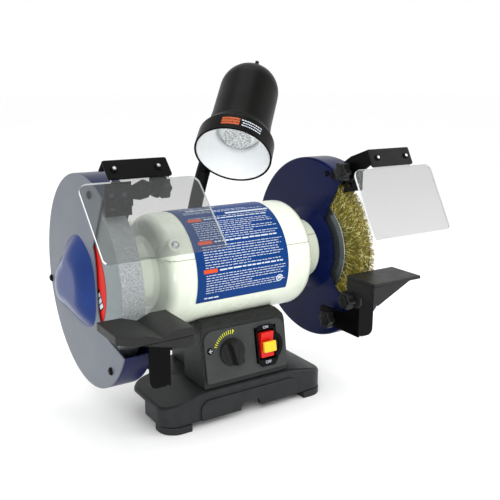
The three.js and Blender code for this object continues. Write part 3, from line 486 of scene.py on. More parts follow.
def sided_piece(side, name, body, material, parts, node=None, cuts=(), keep=(), **look):
    """A right-hand piece or its mirror image, named after its side like its node and its own body."""
    label = side_name(side)
    return piece(
        f"{name}_{label}", body if body in ("frame", "spindle") else f"{body}_{label}", material,
        sided(side, parts), nodes=[f"{node}_{label}"] if node else (),
        cuts=sided(side, cuts), keep=sided(side, keep), **look,
    )


def screw_head(origin, direction, radius=3.2, height=2.0, hexagon=False):
    """A button head with a cross or a hexagonal socket."""
    dome = [(0, 0), (0, radius), (height * 0.45, radius), (height, radius * 0.62, 0.6), (height, 0)]
    if hexagon:
        socket = [rod(height * 0.98, height + 0.15, radius * 0.5, 6)]
    else:
        arm, half = radius * 0.62, radius * 0.15
        socket = [
            box((height * 0.95, -arm, -half), (height + 0.12, arm, half)),
            box((height * 0.95, -half, -arm), (height + 0.12, half, arm)),
        ]
    place = towards(origin, direction)
    return moved(turned(dome, 24), place), [moved(part, place) for part in socket]


def screws(name, body, spots, material=STEEL_BLACK, recess=BLACK_PLASTIC, **size):
    """A set of screw heads at (origin, direction) places, and their sockets as a second piece. Sockets in
    bright steel on dark heads are painted glints.
    """
    heads, sockets = [], []
    for origin, direction in spots:
        head, socket = screw_head(origin, direction, **size)
        heads.append(head)
        sockets += socket
    piece(name, body, material, heads)
    piece(name + "_sockets", body, recess, sockets)


# ---- base, feet and pedestal
BASE_BOTTOM = BASE_LOW.z
BASE_BACK = 25
BASE_CORNER = 22
CROWN_TOP = -134
CROWN_FALL = 12
CROWN_FLAT = 60
LOBE_HALF = 72
LOBE_TOP = CROWN_TOP - 0.3
PAD_STEP = 2.4
PAD_HALF = 69
PAD_TOP = -143.4
PAD_FOOT = -168
HOLLOW_TOP = -152
ARCH_TOP = -151


def crown(x):
    """Height of the base's top edge, which falls away outside the pedestal."""
    over = max(0.0, abs(x) - CROWN_FLAT) / (BASE_HIGH.x - CROWN_FLAT)
    return CROWN_TOP - CROWN_FALL * over ** 1.3


def moulded_block(x_half, y0, y1, corner, top, rounding=4.0):
    """A block with rounded corners whose top follows a height along x, with a rounded upper edge."""
    levels = [(0, None), (0, 0)]
    for k in range(1, 7):
        a = math.pi * k / 12
        levels.append((rounding * (1 - math.cos(a)), rounding * math.sin(a)))
    spans = [-x_half + corner + (2 * x_half - 2 * corner) * k / 24 for k in range(25)]
    verts = []
    for inset, rise in levels:
        r = corner - inset
        front = []
        for k in range(9):
            a = math.pi / 2 * k / 8
            front.append((-x_half + corner - r * math.cos(a), y0 + corner - r * math.sin(a)))
        front += [(x, y0 + inset) for x in spans[1:-1]]
        front += [(-x, y) for x, y in reversed(front[:9])]
        back = [(x, y0 + y1 - y) for x, y in reversed(front)]
        ring = front + back
        for x, y in ring:
            z = BASE_BOTTOM if rise is None else top(x) - rounding + rise
            verts.append((x, y, z))
    count = len(ring)
    faces = skin(len(levels), count)
    for a in (0, len(verts) - count):
        for k in range(count // 2 - 1):
            faces.append((a + k, a + k + 1, a + count - 2 - k, a + count - 1 - k))
    return verts, faces


base_block = moulded_block(BASE_HIGH.x, BASE_LOW.y + PAD_STEP, BASE_BACK, BASE_CORNER, crown)
lobe_block = moulded_block(LOBE_HALF, -20, BASE_HIGH.y, BASE_CORNER, lambda x: LOBE_TOP)
pad_outline = mirrored([(-PAD_HALF, PAD_FOOT), (-PAD_HALF, PAD_TOP, 15)])
pad = prism(fillet(pad_outline, 0, 8), BASE_LOW.y, -60, "y")
notch = prism(fillet(mirrored([(-20, -190), (-12, -157.5, 7)]), 0, 5), -90, -50, "y")
hollow = prism(rounded_rect(-108, -70, 108, 17, 16), BASE_BOTTOM - 1, HOLLOW_TOP, "z")
rear_hollow = prism(rounded_rect(-64, -20, 64, 46, 16), BASE_BOTTOM - 1, HOLLOW_TOP, "z")
side_arches = [box((x0, -23, BASE_BOTTOM - 5), (x0 + 50, 40, ARCH_TOP)) for x0 in (-123, 73)]
piece(
    "base_cover", "frame", CAST, [base_block], nodes=["base_casting"], cuts=[hollow, notch, *side_arches],
    bevel=0.8, slot="cast_black",
)
piece("base_rear_lobe", "frame", CAST, [lobe_block], cuts=[rear_hollow], bevel=0.8, slot="cast_black")
piece(
    "base_front_pad", "frame", CAST, [pad], cuts=[hollow, notch], bevel=1.0, segments=3, slot="cast_black",
)
for foot in ("foot_front_left", "foot_front_right", "foot_rear_left", "foot_rear_right"):
    dress(foot, RUBBER, 0.4)

PEDESTAL_HALF = PEDESTAL_HIGH.x
PEDESTAL_FLOOR = PEDESTAL_LOW.z
PEDESTAL_WALL = 5
COLUMN_FRONT = -18
COLUMN_HALF = 44
COLUMN_TOP = -56
CAVITY_FLOOR = -140
CAVITY_TOP = -74
WINDOW_FRONT, WINDOW_BACK = -80, -45
side_profile = [
    (PANEL_FOOT[0], PEDESTAL_FLOOR),
    (COLUMN_FRONT, PEDESTAL_FLOOR),
    (COLUMN_FRONT, COLUMN_TOP),
    (-50, COLUMN_TOP),
    (PANEL_HEAD[0] - 0.7, -62),
]
front_outline = fillet(mirrored([(-60, -140), (-60, -50, 22)]), 0, 8)
saddle = rod(-120, 120, MOTOR_RADIUS + 0.4, 96)
cavity_back = COLUMN_FRONT - PEDESTAL_WALL
cavity_outline = [
    (-64, CAVITY_FLOOR), (cavity_back, CAVITY_FLOOR), (cavity_back, CAVITY_TOP), (-56, CAVITY_TOP),
]
cavity = prism(cavity_outline, -55, 55)
column_outline = rounded_rect(-COLUMN_HALF, COLUMN_FRONT - 6, COLUMN_HALF, PEDESTAL_HIGH.y, 5)
column = prism(column_outline, PEDESTAL_FLOOR, COLUMN_TOP, "z")
column_cavity = box(
    (PEDESTAL_WALL - COLUMN_HALF, -30, CAVITY_FLOOR),
    (COLUMN_HALF - PEDESTAL_WALL, PEDESTAL_HIGH.y - 6, CAVITY_TOP),
)
switch_window = box(
    (SWITCH_X - 17, WINDOW_FRONT, CONTROL_Z - 26), (SWITCH_X + 17, WINDOW_BACK, CONTROL_Z + 22),
)
dial_window = box((DIAL_X - 6, WINDOW_FRONT, CONTROL_Z - 6), (DIAL_X + 6, WINDOW_BACK, CONTROL_Z + 6))
piece(
    "pedestal_cover", "frame", CRINKLE, [prism(side_profile, -PEDESTAL_HALF, PEDESTAL_HALF)],
    nodes=["pedestal_casting"], keep=[prism(front_outline, -90, 80, "y")],
    cuts=[saddle, cavity, switch_window, dial_window], bevel=1.2, segments=3, slot="cast_black",
)
piece(
    "pedestal_column", "frame", CAST, [column], cuts=[saddle, column_cavity], bevel=1.0, slot="cast_black",
)

# ---- controls, drawn in the panel's own frame: x across, y up the face, z out of it
PANEL_FACE = 2.8
BEZEL_FACE = 5.8
DIAL_ANGLE = 14
TICKS = 12
TICK_START = 154
TICK_STEP = 6.6
lean = math.atan2(PANEL_HEAD[0] - PANEL_FOOT[0], PANEL_HEAD[1] - PANEL_FOOT[1])
face_y = PANEL_FOOT[0] + (CONTROL_Z - PANEL_FOOT[1]) * math.tan(lean)
ON_PANEL = Matrix.Translation((0, face_y, CONTROL_Z)) @ Matrix.Rotation(math.pi / 2 - lean, 4, "X")
UPRIGHT = Matrix.Rotation(-math.pi / 2, 4, "Y")


def on_panel(*parts):
    return [moved(part, ON_PANEL) for part in parts]


def standing(profile, x, y, segments=48, closed=False):
    """A lathe about the panel's z through (x, y)."""
    return moved(lathe(profile, segments, closed), Matrix.Translation((x, y, 0)) @ UPRIGHT)


panel_outline = fillet([(-57, -33, 3), (57, -33, 3), (57, 29, 12), (-57, 29, 12)], 0, 6)
switch_opening = box((SWITCH_X - 16, -22.5, -5), (SWITCH_X + 16, 21.5, 9))
dial_opening = box((DIAL_X - 5, -5, -5), (DIAL_X + 5, 5, 9))
piece(
    "control_face", "frame", PANEL, on_panel(prism(panel_outline, 0.3, PANEL_FACE, "z")),
    nodes=["control_panel"], cuts=on_panel(switch_opening, dial_opening), bevel=0.7, slot="panel_plastic",
)
bezel_outline = fillet(
    [(-15, -21), (-10, -27.5), (9, -27.5), (14, -21), (14, 17), (9, 23.5), (-10, 23.5), (-15, 17)], 3, 3,
)
bezel = shift(prism(bezel_outline, PANEL_FACE + 0.3, BEZEL_FACE, "z"), SWITCH_X)
switch_block = box((SWITCH_X - 15, -21, -24), (SWITCH_X + 14, 20, 4))
ring_profile = fillet([(3.1, 18), (6.6, 18), (6.6, 12), (3.1, 12)], 1.2, 3)
finger_ring = standing(ring_profile, SWITCH_X + 4.5, -3, closed=True)
recess = box((SWITCH_X - 13, -18.5, -6), (SWITCH_X + 10, 17.5, 12))
piece(
    "switch_bezel", "frame", BLACK_PLASTIC, on_panel(bezel, switch_block), nodes=["switch_body"],
    cuts=on_panel(recess), bevel=0.7, slot="panel_plastic",
)
piece("switch_finger_ring", "frame", BLACK_PLASTIC, on_panel(finger_ring), cuts=on_panel(recess), bevel=0.6)
dress("switch_paddle", RED, 0.8, 3)
dress("safety_key", YELLOW, 1.2, 3)

dial_profile = [(4, 0), (4, 16.9, 0.8), (6.4, 16.4, 0.6), (7.4, 15.6, 0.8), (19.6, 14.9, 2.8), (19.6, 0)]
dial_body = standing(fillet(dial_profile, 0, 5, False), 0, 0)
scoops = []
for side in (-1, 1):
    scoop = [(4.4, 24), (5.8, 11), (7.4, 7.4, 3), (24, 6.2), (24, 24)]
    scoops.append(prism(fillet([(side * p[0], *p[1:]) for p in scoop], 0, 5), -20, 20, "y"))
dial_turn = Matrix.Translation((DIAL_X, 0, 0)) @ Matrix.Rotation(math.radians(DIAL_ANGLE), 4, "Z")
dial_stem = standing([(-4, 0), (-4, 3), (5, 3), (5, 0)], DIAL_X, 0, 20)
piece(
    "dial_knob", "dial", KNOB, on_panel(moved(dial_body, dial_turn)), nodes=["speed_dial"],
    cuts=on_panel(*[moved(scoop, dial_turn) for scoop in scoops]), bevel=0.6, segments=3,
    slot="knob_plastic",
)
piece("dial_stem", "dial", KNOB, on_panel(dial_stem))
dress("speed_potentiometer", STEEL, 0.4)
dress("speed_control_board", BOARD, 0.2)

ink_low, ink_high = PANEL_FACE - 0.1, PANEL_FACE + 0.15
scale_middle = Matrix.Translation((DIAL_X, -1, 0))
ticks = []
for k in range(TICKS):
    half = 1.7 + 0.08 * k
    tick = box((-half, -0.42, ink_low), (half, 0.42, ink_high))
    turn = Matrix.Rotation(math.radians(TICK_START - TICK_STEP * k), 4, "Z")
    ticks.append(moved(tick, scale_middle @ turn @ Matrix.Translation((23.5 + 0.12 * k, 0, 0))))
for x, y in ((DIAL_X - 26, 8), (DIAL_X + 5, 24)):
    ticks.append(standing([(ink_low, 0), (ink_low, 0.8), (ink_high, 0.8), (ink_high, 0)], x, y, 12))
piece("dial_scale", "frame", PRINT_YELLOW, on_panel(*ticks))


def words(name, text, x, y, size=5):
    """Raised lettering on the bezel: only the switch's ON and OFF."""
    curve = bpy.data.curves.new(name, "FONT")
    curve.body = text
    curve.size = size
    curve.extrude = 0.12
    curve.align_x = "CENTER"
    source = linked(name + "_source", curve)
    data = source.to_mesh()
    verts = [tuple(v.co + Vector((x, y, BEZEL_FACE + 0.05))) for v in data.vertices]
    faces = [tuple(p.vertices) for p in data.polygons]
    source.to_mesh_clear()
    bpy.data.objects.remove(source)
    piece(name, "frame", PRINT_WHITE, on_panel((verts, faces)))


def panel_spots(points, z):
    """Places for screws that stand on the panel at (x, y) points."""
    normal = ON_PANEL.to_3x3() @ Vector((0, 0, 1))
    return [(ON_PANEL @ Vector((x, y, z)), normal) for x, y in points]


words("switch_mark_on", "ON", SWITCH_X - 1, 19.2)
words("switch_mark_off", "OFF", SWITCH_X - 1, -24)
# The panel screw's socket in bright steel on its dark head: a painted glint.
screws("panel_screws", "frame", panel_spots([(-50, 6)], 2.6), recess=STEEL, radius=4, height=1.6)
bezel_points = [(SWITCH_X, -26), (SWITCH_X - 15, 21)]
screws("switch_screws", "frame", panel_spots(bezel_points, 5.4), radius=1.5, height=0.8)

# ---- motor housing
END_PROFILE = [
    (98.6, MOTOR_RADIUS, 12),
    (102, 43.5, 3),
    (107.5, BOSS_RADIUS, 4),
    (BOSS_END, BOSS_RADIUS, 2.4),
    (BOSS_END, 15, 0.6),
    (BOSS_END - 9.7, 15),
    (BOSS_END - 9.7, 20.3),
    (108, 20.3),
    (98, 30),
    (93, 50, 3),
    (84, 64, 3),
]
housing = lathe(fillet(mirrored(END_PROFILE), 0, 7), 144)
FAR = 200
SEAM_HALF = 0.25
above = box((-FAR, -FAR, SEAM_Z + SEAM_HALF), (FAR, FAR, FAR))
below = box((-FAR, -FAR, -FAR), (FAR, FAR, SEAM_Z - SEAM_HALF))
BOSS_TOP = 78
front_out, back_out = Vector((0, -0.82, 0.57)), Vector((0, 0.82, 0.57))
boss_spots = [(-92, front_out), (-90, back_out), (88, back_out)]
bosses = []
for x, out in boss_spots:
    boss = turned([(50, 0), (50, 13), (64, 10.6), (BOSS_TOP, 7.6, 3), (BOSS_TOP, 0)], 40, 5)
    bosses.append(moved(boss, towards((x, 0, 0), out, (1, 0, 0))))
for shell, half in (("upper", above), ("lower", below)):
    piece(
        f"housing_{shell}_shell", "frame", CREAM, [housing], nodes=[f"motor_housing_{shell}"], keep=[half],
        bevel=0.5, slot="cream_paint",
    )
piece("housing_screw_bosses", "frame", CREAM, bosses, slot="cream_paint")
screws(
    "housing_screws", "frame", [(Vector((x, 0, 0)) + out * (BOSS_TOP - 0.4), out) for x, out in boss_spots],
    material=STEEL, recess=CREAM, radius=4.6, height=2.0, hexagon=True,
)

# ---- rating label: a blue sheet with lines of generic print
LABEL_START, LABEL_END = 75, 204
HEADING_ANGLES = (117.2, 144.6, 172.4)
LINE_STEP = 2.5
SKIN = MOTOR_RADIUS + 0.75
PRINT_LOW, PRINT_HIGH = SKIN - 0.05, SKIN + 0.07


def on_drum(x0, x1, a0, a1, r0=PRINT_LOW, r1=PRINT_HIGH, step=3.0):
    """A patch of the drum's surface from x0 to x1 and from angle a0 to a1, in degrees from +Y."""
    count = max(1, round((a1 - a0) / step))
    verts = []
    for k in range(count + 1):
        a = math.radians(a0 + (a1 - a0) * k / count)
        verts += [(x, *polar(r, a)) for x, r in ((x0, r0), (x0, r1), (x1, r1), (x1, r0))]
    faces = skin(count + 1, 4) + [(3, 2, 1, 0), tuple(4 * count + i for i in range(4))]
    return verts, faces


sheet = on_drum(LABEL_LOW.x, LABEL_HIGH.x, LABEL_START, LABEL_END, SKIN - 0.45, SKIN)
piece("label_sheet", "frame", LABEL, [sheet], nodes=["rating_label"], slot="label_blue")


def print_line(angle, x, end, height, mean=4.2):
    """A line of word-like dashes from x to end, of a height in degrees and a mean word length."""
    dashes = []
    while x < end:
        length = min(end - x, random.uniform(0.4, 1.6) * mean)
        low = angle + random.uniform(-0.12, 0.12)
        dashes.append(on_drum(x, x + length, low, low + height))
        x += length + random.uniform(0.9, 1.6)
    return dashes


white_print, orange_print = [], []
for start in HEADING_ANGLES:
    orange_print.append(on_drum(-59, -41, start - 2.0, start + 1.7))
    white_print += print_line(start - 0.9, -38, random.uniform(48, 55), 1.4, 7)
white_print += print_line(95.5, -50, -14, 3.6, 5) + print_line(90, -54, -6, 1.6, 6)
white_print += print_line(104.5, -57, 52, 0.9) + print_line(101.8, -57, 30, 0.9)
white_print.append(on_drum(-4, 57, 108.6, 111.2))
angle = 113.6
while angle < 196:
    near_heading = any(start - 2.6 < angle < start + 1.6 for start in HEADING_ANGLES)
    if not near_heading:
        short = random.random() < 0.35
        end = random.choice((54, 50, 38, 20, 6)) if short else random.uniform(46, 55)
        white_print += print_line(angle, -56, end, 0.66)
    angle += LINE_STEP
white_print += print_line(199, -57, -38, 1.5, 9)
MARK_DOTS = 24
for k in range(MARK_DOTS):
    turn = 2 * math.pi * k / MARK_DOTS
    x, tilt = 46 + 4 * math.cos(turn), 190.5 + 3.2 * math.sin(turn)
    white_print.append(on_drum(x - 0.7, x + 0.7, tilt - 0.5, tilt + 0.5))
white_print.append(on_drum(44, 48, 189, 191.6))
piece("label_print_white", "frame", PRINT_WHITE, white_print)
piece("label_print_orange", "frame", PRINT_ORANGE, orange_print)

# ---- motor internals and spindle
dress("stator_core", LAMINATION, 0.2)
dress("stator_winding", COPPER, 0.8)
dress("rotor_core", LAMINATION, 0.2)
dress("bearing_left", STEEL, 0.4)
dress("bearing_right", STEEL, 0.4)

SHAFT_END = extent("spindle_shaft")[1].x
THREAD_START = 176
THREAD_PITCH = 1.4
shaft_half = [(SHAFT_END, 0), (SHAFT_END, 6.6, 0.4)]
thread_x = SHAFT_END - THREAD_PITCH
while thread_x > THREAD_START:
    shaft_half += [(thread_x, 7.9), (thread_x - THREAD_PITCH / 2, 6.9)]
    thread_x -= THREAD_PITCH
shaft_half += [(174, 7.9), (124, 7.9), (124, 8.5), (104, 8.5), (104, 10)]
shaft = turned(mirrored(shaft_half), 40)
piece("shaft_bar", "spindle", STEEL, [shaft], nodes=["spindle_shaft"], slot="bright_steel")

BORE = 8.2
WHEEL_IN, WHEEL_OUT = -WHEEL_HIGH.x, -WHEEL_LOW.x
FLANGE_END = WHEEL_OUT + 5
COLLAR_X = 124.3


def ring_piece(name, material, side, profile, node, slot, segments=96, rounding=0.5):
    """A ring on the spindle from an (x, radius) profile, on the left or the right."""
    ring = lathe(fillet(profile, rounding, 3), segments)
    nodes = [node] if node else ()
    return piece(name, "spindle", material, sided(side, [ring]), nodes=nodes, slot=slot)


stone = ring_piece(
    "wheel_stone", ABRASIVE, -1,
    [(WHEEL_IN, BORE), (WHEEL_IN, WHEEL_RADIUS, 1.6), (WHEEL_OUT, WHEEL_RADIUS, 1.6), (WHEEL_OUT, BORE)],
    "grinding_wheel", "abrasive", 160,
)
stone.data.materials.append(ABRASIVE_SIDE)
for polygon in stone.data.polygons:
    polygon.material_index = 1 if abs(polygon.normal.x) > 0.9 else 0
paper_in, paper_out, paper_radius = WHEEL_OUT + 0.25, -BLOTTER_LOW.x, BLOTTER_HIGH.z
ring_piece(
    "wheel_paper", BLOTTER, -1,
    [(paper_in, BORE), (paper_in, paper_radius), (paper_out, paper_radius), (paper_out, BORE)],
    "wheel_blotter", "blotter_paper", 96, 0.1,
)
patch_place = towards((-paper_out, -39, -12), (-1, 0, 0), (0, 0.55, 0.83))
patch_black = moved(box((-0.1, -7, -11), (0.12, 7, 11)), patch_place)
patch_white = [moved(box((0, -5.4, z), (0.2, 5.4, z + 4.6)), patch_place) for z in (-9.6, -3.4, 2.8)]
piece("wheel_paper_border", "spindle", BLACK_PLASTIC, [patch_black])
piece("wheel_paper_stripes", "spindle", PRINT_WHITE, patch_white)
ring_piece(
    "flange_inner", STEEL, -1,
    [(COLLAR_X, BORE), (COLLAR_X, 13), (137, 13, 3), (138, 30, 3), (WHEEL_IN - 0.3, 34),
     (WHEEL_IN - 0.3, BORE)],
    "wheel_flange_inner", "bright_steel", 64,
)
ring_piece(
    "flange_outer", STEEL, -1,
    [(WHEEL_OUT + 1.1, BORE), (WHEEL_OUT + 1.1, 34), (WHEEL_OUT + 4, 28, 2), (FLANGE_END, 16, 2),
     (FLANGE_END, BORE)],
    "wheel_flange_outer", "bright_steel", 64,
)
nut_in, nut_out = FLANGE_END + 0.3, SHAFT_END - 3
nut_profile = [
    (nut_in, 0), (nut_in, 12.6), (nut_in + 1, 13.6), (nut_out - 1, 13.6), (nut_out, 12.4), (nut_out, 0),
]
for side in (-1, 1):
    sided_piece(
        side, "nut", "spindle", STEEL, [rod(nut_in, nut_out, 13.5, 6)], "spindle_nut",
        cuts=[rod(WHEEL_OUT, SHAFT_END, BORE)], keep=[turned(nut_profile, 48)], bevel=0.2,
        slot="bright_steel",
    )
ring_piece(
    "brush_hub", HUB_STEEL, 1,
    [(COLLAR_X, BORE), (COLLAR_X, 13), (139, 13, 4), (141, 24, 2), (143.5, 30, 4), (146, 46, 4),
     (147.6, 60, 3), (150, 66), (152, 66), (153, 40), (165, 40), (166, 66), (168, 66), (171, 30),
     (FLANGE_END, 16), (FLANGE_END, BORE)],
    "wire_wheel_hub", "bright_steel",
)
# A thin ring of bright steel on the dark hub's edge: a painted highlight along its rim.
hub_glint_ring = [(149.4, 64.8), (149.4, 66.6), (151.2, 66.6), (151.2, 64.8)]
ring_piece("brush_hub_highlight_ring", STEEL, 1, hub_glint_ring, None, "bright_steel")
BRUSH_LOW, BRUSH_HIGH = extent("wire_wheel_bristles")
BRUSH_RADIUS = BRUSH_HIGH.z
BRUSH_MIDDLE = (BRUSH_LOW.x + BRUSH_HIGH.x) / 2
core_radius = BRUSH_RADIUS - 4
# The brush's solid core in the darker brass: painted shade in the dense mass of wires.
ring_piece(
    "brush_core", BRASS_PAINTED_SHADE, 1,
    [(153.5, 40.3), (152.4, 66), (150.6, 82, 4), (149.5, core_radius, 4), (167.5, core_radius, 4),
     (167, 82, 4), (165.6, 66), (164.6, 40.3)],
    "wire_wheel_bristles", "brass_wire",
)


def brush_place(spread, radius, half, flare):
    """A place in the brush: its half width at the hub's edge grows by the flare towards the tips."""
    return BRUSH_MIDDLE + spread * (half + flare * (radius - 66) / 34)


def wires(name, material, count, rings=4):
    """Crimped wires that fan out from the brush's core, each a thin three-sided tube with closed ends."""
    verts, faces = [], []
    for _ in range(count):
        around = random.uniform(0, 2 * math.pi)
        radial = Vector((0, math.cos(around), math.sin(around)))
        across = Vector((0, -math.sin(around), math.cos(around)))
        spread = random.uniform(-1, 1)
        rim_start = random.uniform(BRUSH_RADIUS - 9, BRUSH_RADIUS - 4)
        start_r = random.choice((rim_start, random.uniform(62, BRUSH_RADIUS - 5)))
        flank = start_r < BRUSH_RADIUS - 8
        if flank:
            spread = math.copysign(random.uniform(0.86, 1.0), spread)
        end_r = min(BRUSH_RADIUS, start_r + random.uniform(7, 12) * (1.0 if flank else 0.7))
        start = Vector((brush_place(spread, start_r, 7.5, 2.2), 0, 0)) + radial * start_r
        end = Vector((brush_place(spread, end_r, 8.4, 2.6), 0, 0)) + radial * end_r
        end += across * random.uniform(-5, 5)
        thick = random.uniform(0.22, 0.42)
        base = len(verts)
        side_way = (end - start).cross(Vector((1, 0.3, 0.2))).normalized()
        for k in range(rings):
            kink = side_way * (0.7 * math.sin(k * 2.4 + around * 7))
            centre = start.lerp(end, k / (rings - 1)) + kink
            for corner in range(3):
                a = 2 * math.pi * corner / 3
                off = across * math.cos(a) + Vector((1, 0, 0)) * math.sin(a)
                verts.append(tuple(centre + off * thick))
        last = len(verts) - 1
        faces += skin(rings, 3, base) + [(base + 2, base + 1, base), (last - 2, last - 1, last)]
    obj = raw_object(name, [(verts, faces)], merged=False)
    obj.data.materials.append(material)
    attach(obj, "spindle")


wires("brush_wires", BRASS, 4200)
# Some wires in the pale brass: painted glints.
wires("brush_wires_painted_glint", BRASS_PAINTED_GLINT, 2400)
# Some wires in the darker brass: painted shade among the wires.
wires("brush_wires_painted_shade", BRASS_PAINTED_SHADE, 1300)

# ---- wheel guards
COVER_EDGE = 38.5
BULGE_DEPTH = 13.5
BULGE_CENTRE = Vector((14, -4))
BULGE_POINTS = [
    (7, 48), (38, 40), (59, 20), (80, 4), (93, -12), (97, -30), (87, -45), (53, -47), (20, -50), (-6, -49),
    (-27, -38), (-34, -6), (-26, 28),
]
OPENING_TOP = [(-200, 180), (-103, 166)]
OPENING_FOOT = [(-118, -57), (-200, -70)]


def bent(start, pull, end, steps=6):
    """Points along a bend that leaves start and arrives at end, drawn towards a third point."""
    p0, p1, p2 = Vector(start), Vector(pull), Vector(end)
    shares = [k / steps for k in range(steps + 1)]
    return [tuple(p0 * (1 - t) ** 2 + p1 * 2 * t * (1 - t) + p2 * t * t) for t in shares]


def guard_opening():
    """(y, z) outline of the space that the guards leave open in front of the wheel."""
    start, end = math.radians(126), math.radians(208)
    arc = [polar(HUB_RADIUS, start + (end - start) * k / 16) for k in range(17)]
    return OPENING_TOP + arc + bent(arc[-1], (-60, -48), (-76, -50))[1:] + OPENING_FOOT


def cover_opening():
    """(y, z) outline of what the covers leave open, with an upright front edge."""
    upper = bent((-33, 46), (-COVER_EDGE, 36), (-COVER_EDGE, 18))
    lower = bent((-COVER_EDGE, -14), (-40, -36), (-56, -44)) + bent((-56, -44), (-66, -49), (-76, -50))[1:]
    return OPENING_TOP + upper + lower + OPENING_FOOT


def closed_curve(points, per_span=7):
    """A smooth closed curve through points."""
    result = []
    count = len(points)
    for i in range(count):
        p0, p1, p2, p3 = (Vector(points[(i + k) % count]) for k in (-1, 0, 1, 2))
        square = 2 * p0 - 5 * p1 + 4 * p2 - p3
        cube = 3 * p1 - p0 - 3 * p2 + p3
        for k in range(per_span):
            t = k / per_span
            result.append(0.5 * (2 * p1 + (p2 - p0) * t + square * t * t + cube * t ** 3))
    return result


def bulge():
    """The pressed bulge as a closed lens on the cover's face."""
    rim = closed_curve(BULGE_POINTS)
    levels = [(1.05, -1.2), (1.05, 0.0), (1.03, 0.15), (1.01, 0.9)]
    for k in range(1, 13):
        s = 1.0 - 0.92 * k / 12
        fall = max(0.0, (s - 0.45) / 0.55)
        levels.append((s, 0.9 + (BULGE_DEPTH - 0.9) * (1 - fall ** 1.7)))
    verts = []
    for scale, rise in levels:
        for p in rim:
            q = BULGE_CENTRE + (p - BULGE_CENTRE) * scale
            verts.append((COVER_X + rise, q.x, q.y))
    count = len(rim)
    faces = skin(len(levels), count) + [tuple(range(count)), tuple(range(len(verts) - count, len(verts)))]
    return verts, faces


guard_cut = prism(guard_opening(), GUARD_INNER_X - 1, COVER_END + 10)
cover_cut = prism(cover_opening(), GUARD_INNER_X, COVER_END + 10)
rim_end = COVER_X - SHEET - 0.3
plate_in, plate_out = GUARD_INNER_X, GUARD_INNER_X + SHEET
guard_profile = [
    (GUARD_DISH_X, 24), (GUARD_DISH_X, BOSS_RADIUS - 1, 5), (plate_in, HUB_RADIUS + 1, 8),
    (plate_in, GUARD_RADIUS, 3), (rim_end, GUARD_RADIUS), (rim_end, GUARD_RADIUS - SHEET),
    (plate_out, GUARD_RADIUS - SHEET, 1.6), (plate_out, HUB_RADIUS + 1, 7),
    (GUARD_DISH_X + SHEET, BOSS_RADIUS - 1, 4), (GUARD_DISH_X + SHEET, 24),
]
guard_shell = lathe(fillet(guard_profile, 0, 6), 144)
ear_outline = [(-48, 98), (-80, 101), (-98, 106), (-102, 114), (-97, 122), (-88, 123), (-46, 108)]
ear = prism(fillet(ear_outline, 3, 3), plate_in - 3, plate_in + 0.2)
spacer = shift(rod(131, plate_in - 2, 7, 32, 0.6), 0, *SHIELD_PIVOT)
arrestor_flange = box((plate_in + 0.5, -67, 93), (rim_end - 1, -65, 103.5))
bolt_hole, arm_hole = (shift(rod(120, 150, 3.4, 16), 0, *place) for place in (SHIELD_PIVOT, ARM_BOLT))
cover_profile = [
    (COVER_X - SHEET, 0), (COVER_X - SHEET, GUARD_RADIUS, 0.3), (COVER_X, GUARD_RADIUS, 1.2), (COVER_X, 0),
]
cover_disc = turned(cover_profile, 144, 4)
cover_points = [(116, -24), (-31, 102), (-71, -82)]
for side in (-1, 1):
    sided_piece(
        side, "guard_shell", "frame", BLUE, [guard_shell], "guard", cuts=[guard_cut, bolt_hole, arm_hole],
        bevel=0.35, slot="blue_paint",
    )
    sided_piece(side, "guard_ear", "frame", STEEL_BLACK, [ear], cuts=[bolt_hole], bevel=0.5)
    sided_piece(side, "guard_spacer", "frame", STEEL_BLACK, [spacer], cuts=[bolt_hole], bevel=0.3)
    sided_piece(side, "arrestor_flange", "frame", STEEL_BLACK, [arrestor_flange], bevel=0.3)
    sided_piece(
        side, "cover_plate", "frame", COVER_BLUE_PAINTED_REFLECTION, [cover_disc], "guard_cover", cuts=[cover_cut], bevel=0.4,
        slot="blue_paint",
    )
    sided_piece(side, "cover_bulge", "frame", BULGE_BLUE_PAINTED_LIGHT, [bulge()], slot="blue_paint")
    cover_spots = [((side * (COVER_X - 0.1), y, z), (side, 0, 0)) for y, z in cover_points]
    screws(f"cover_screws_{side_name(side)}", "frame", cover_spots, radius=4.4, height=2.6)
    ear_spots = [((side * (plate_in - 0.1), -36, 104), (-side, 0, 0))]
    screws(f"ear_screws_{side_name(side)}", "frame", ear_spots, radius=4.0, height=2.4, hexagon=True)

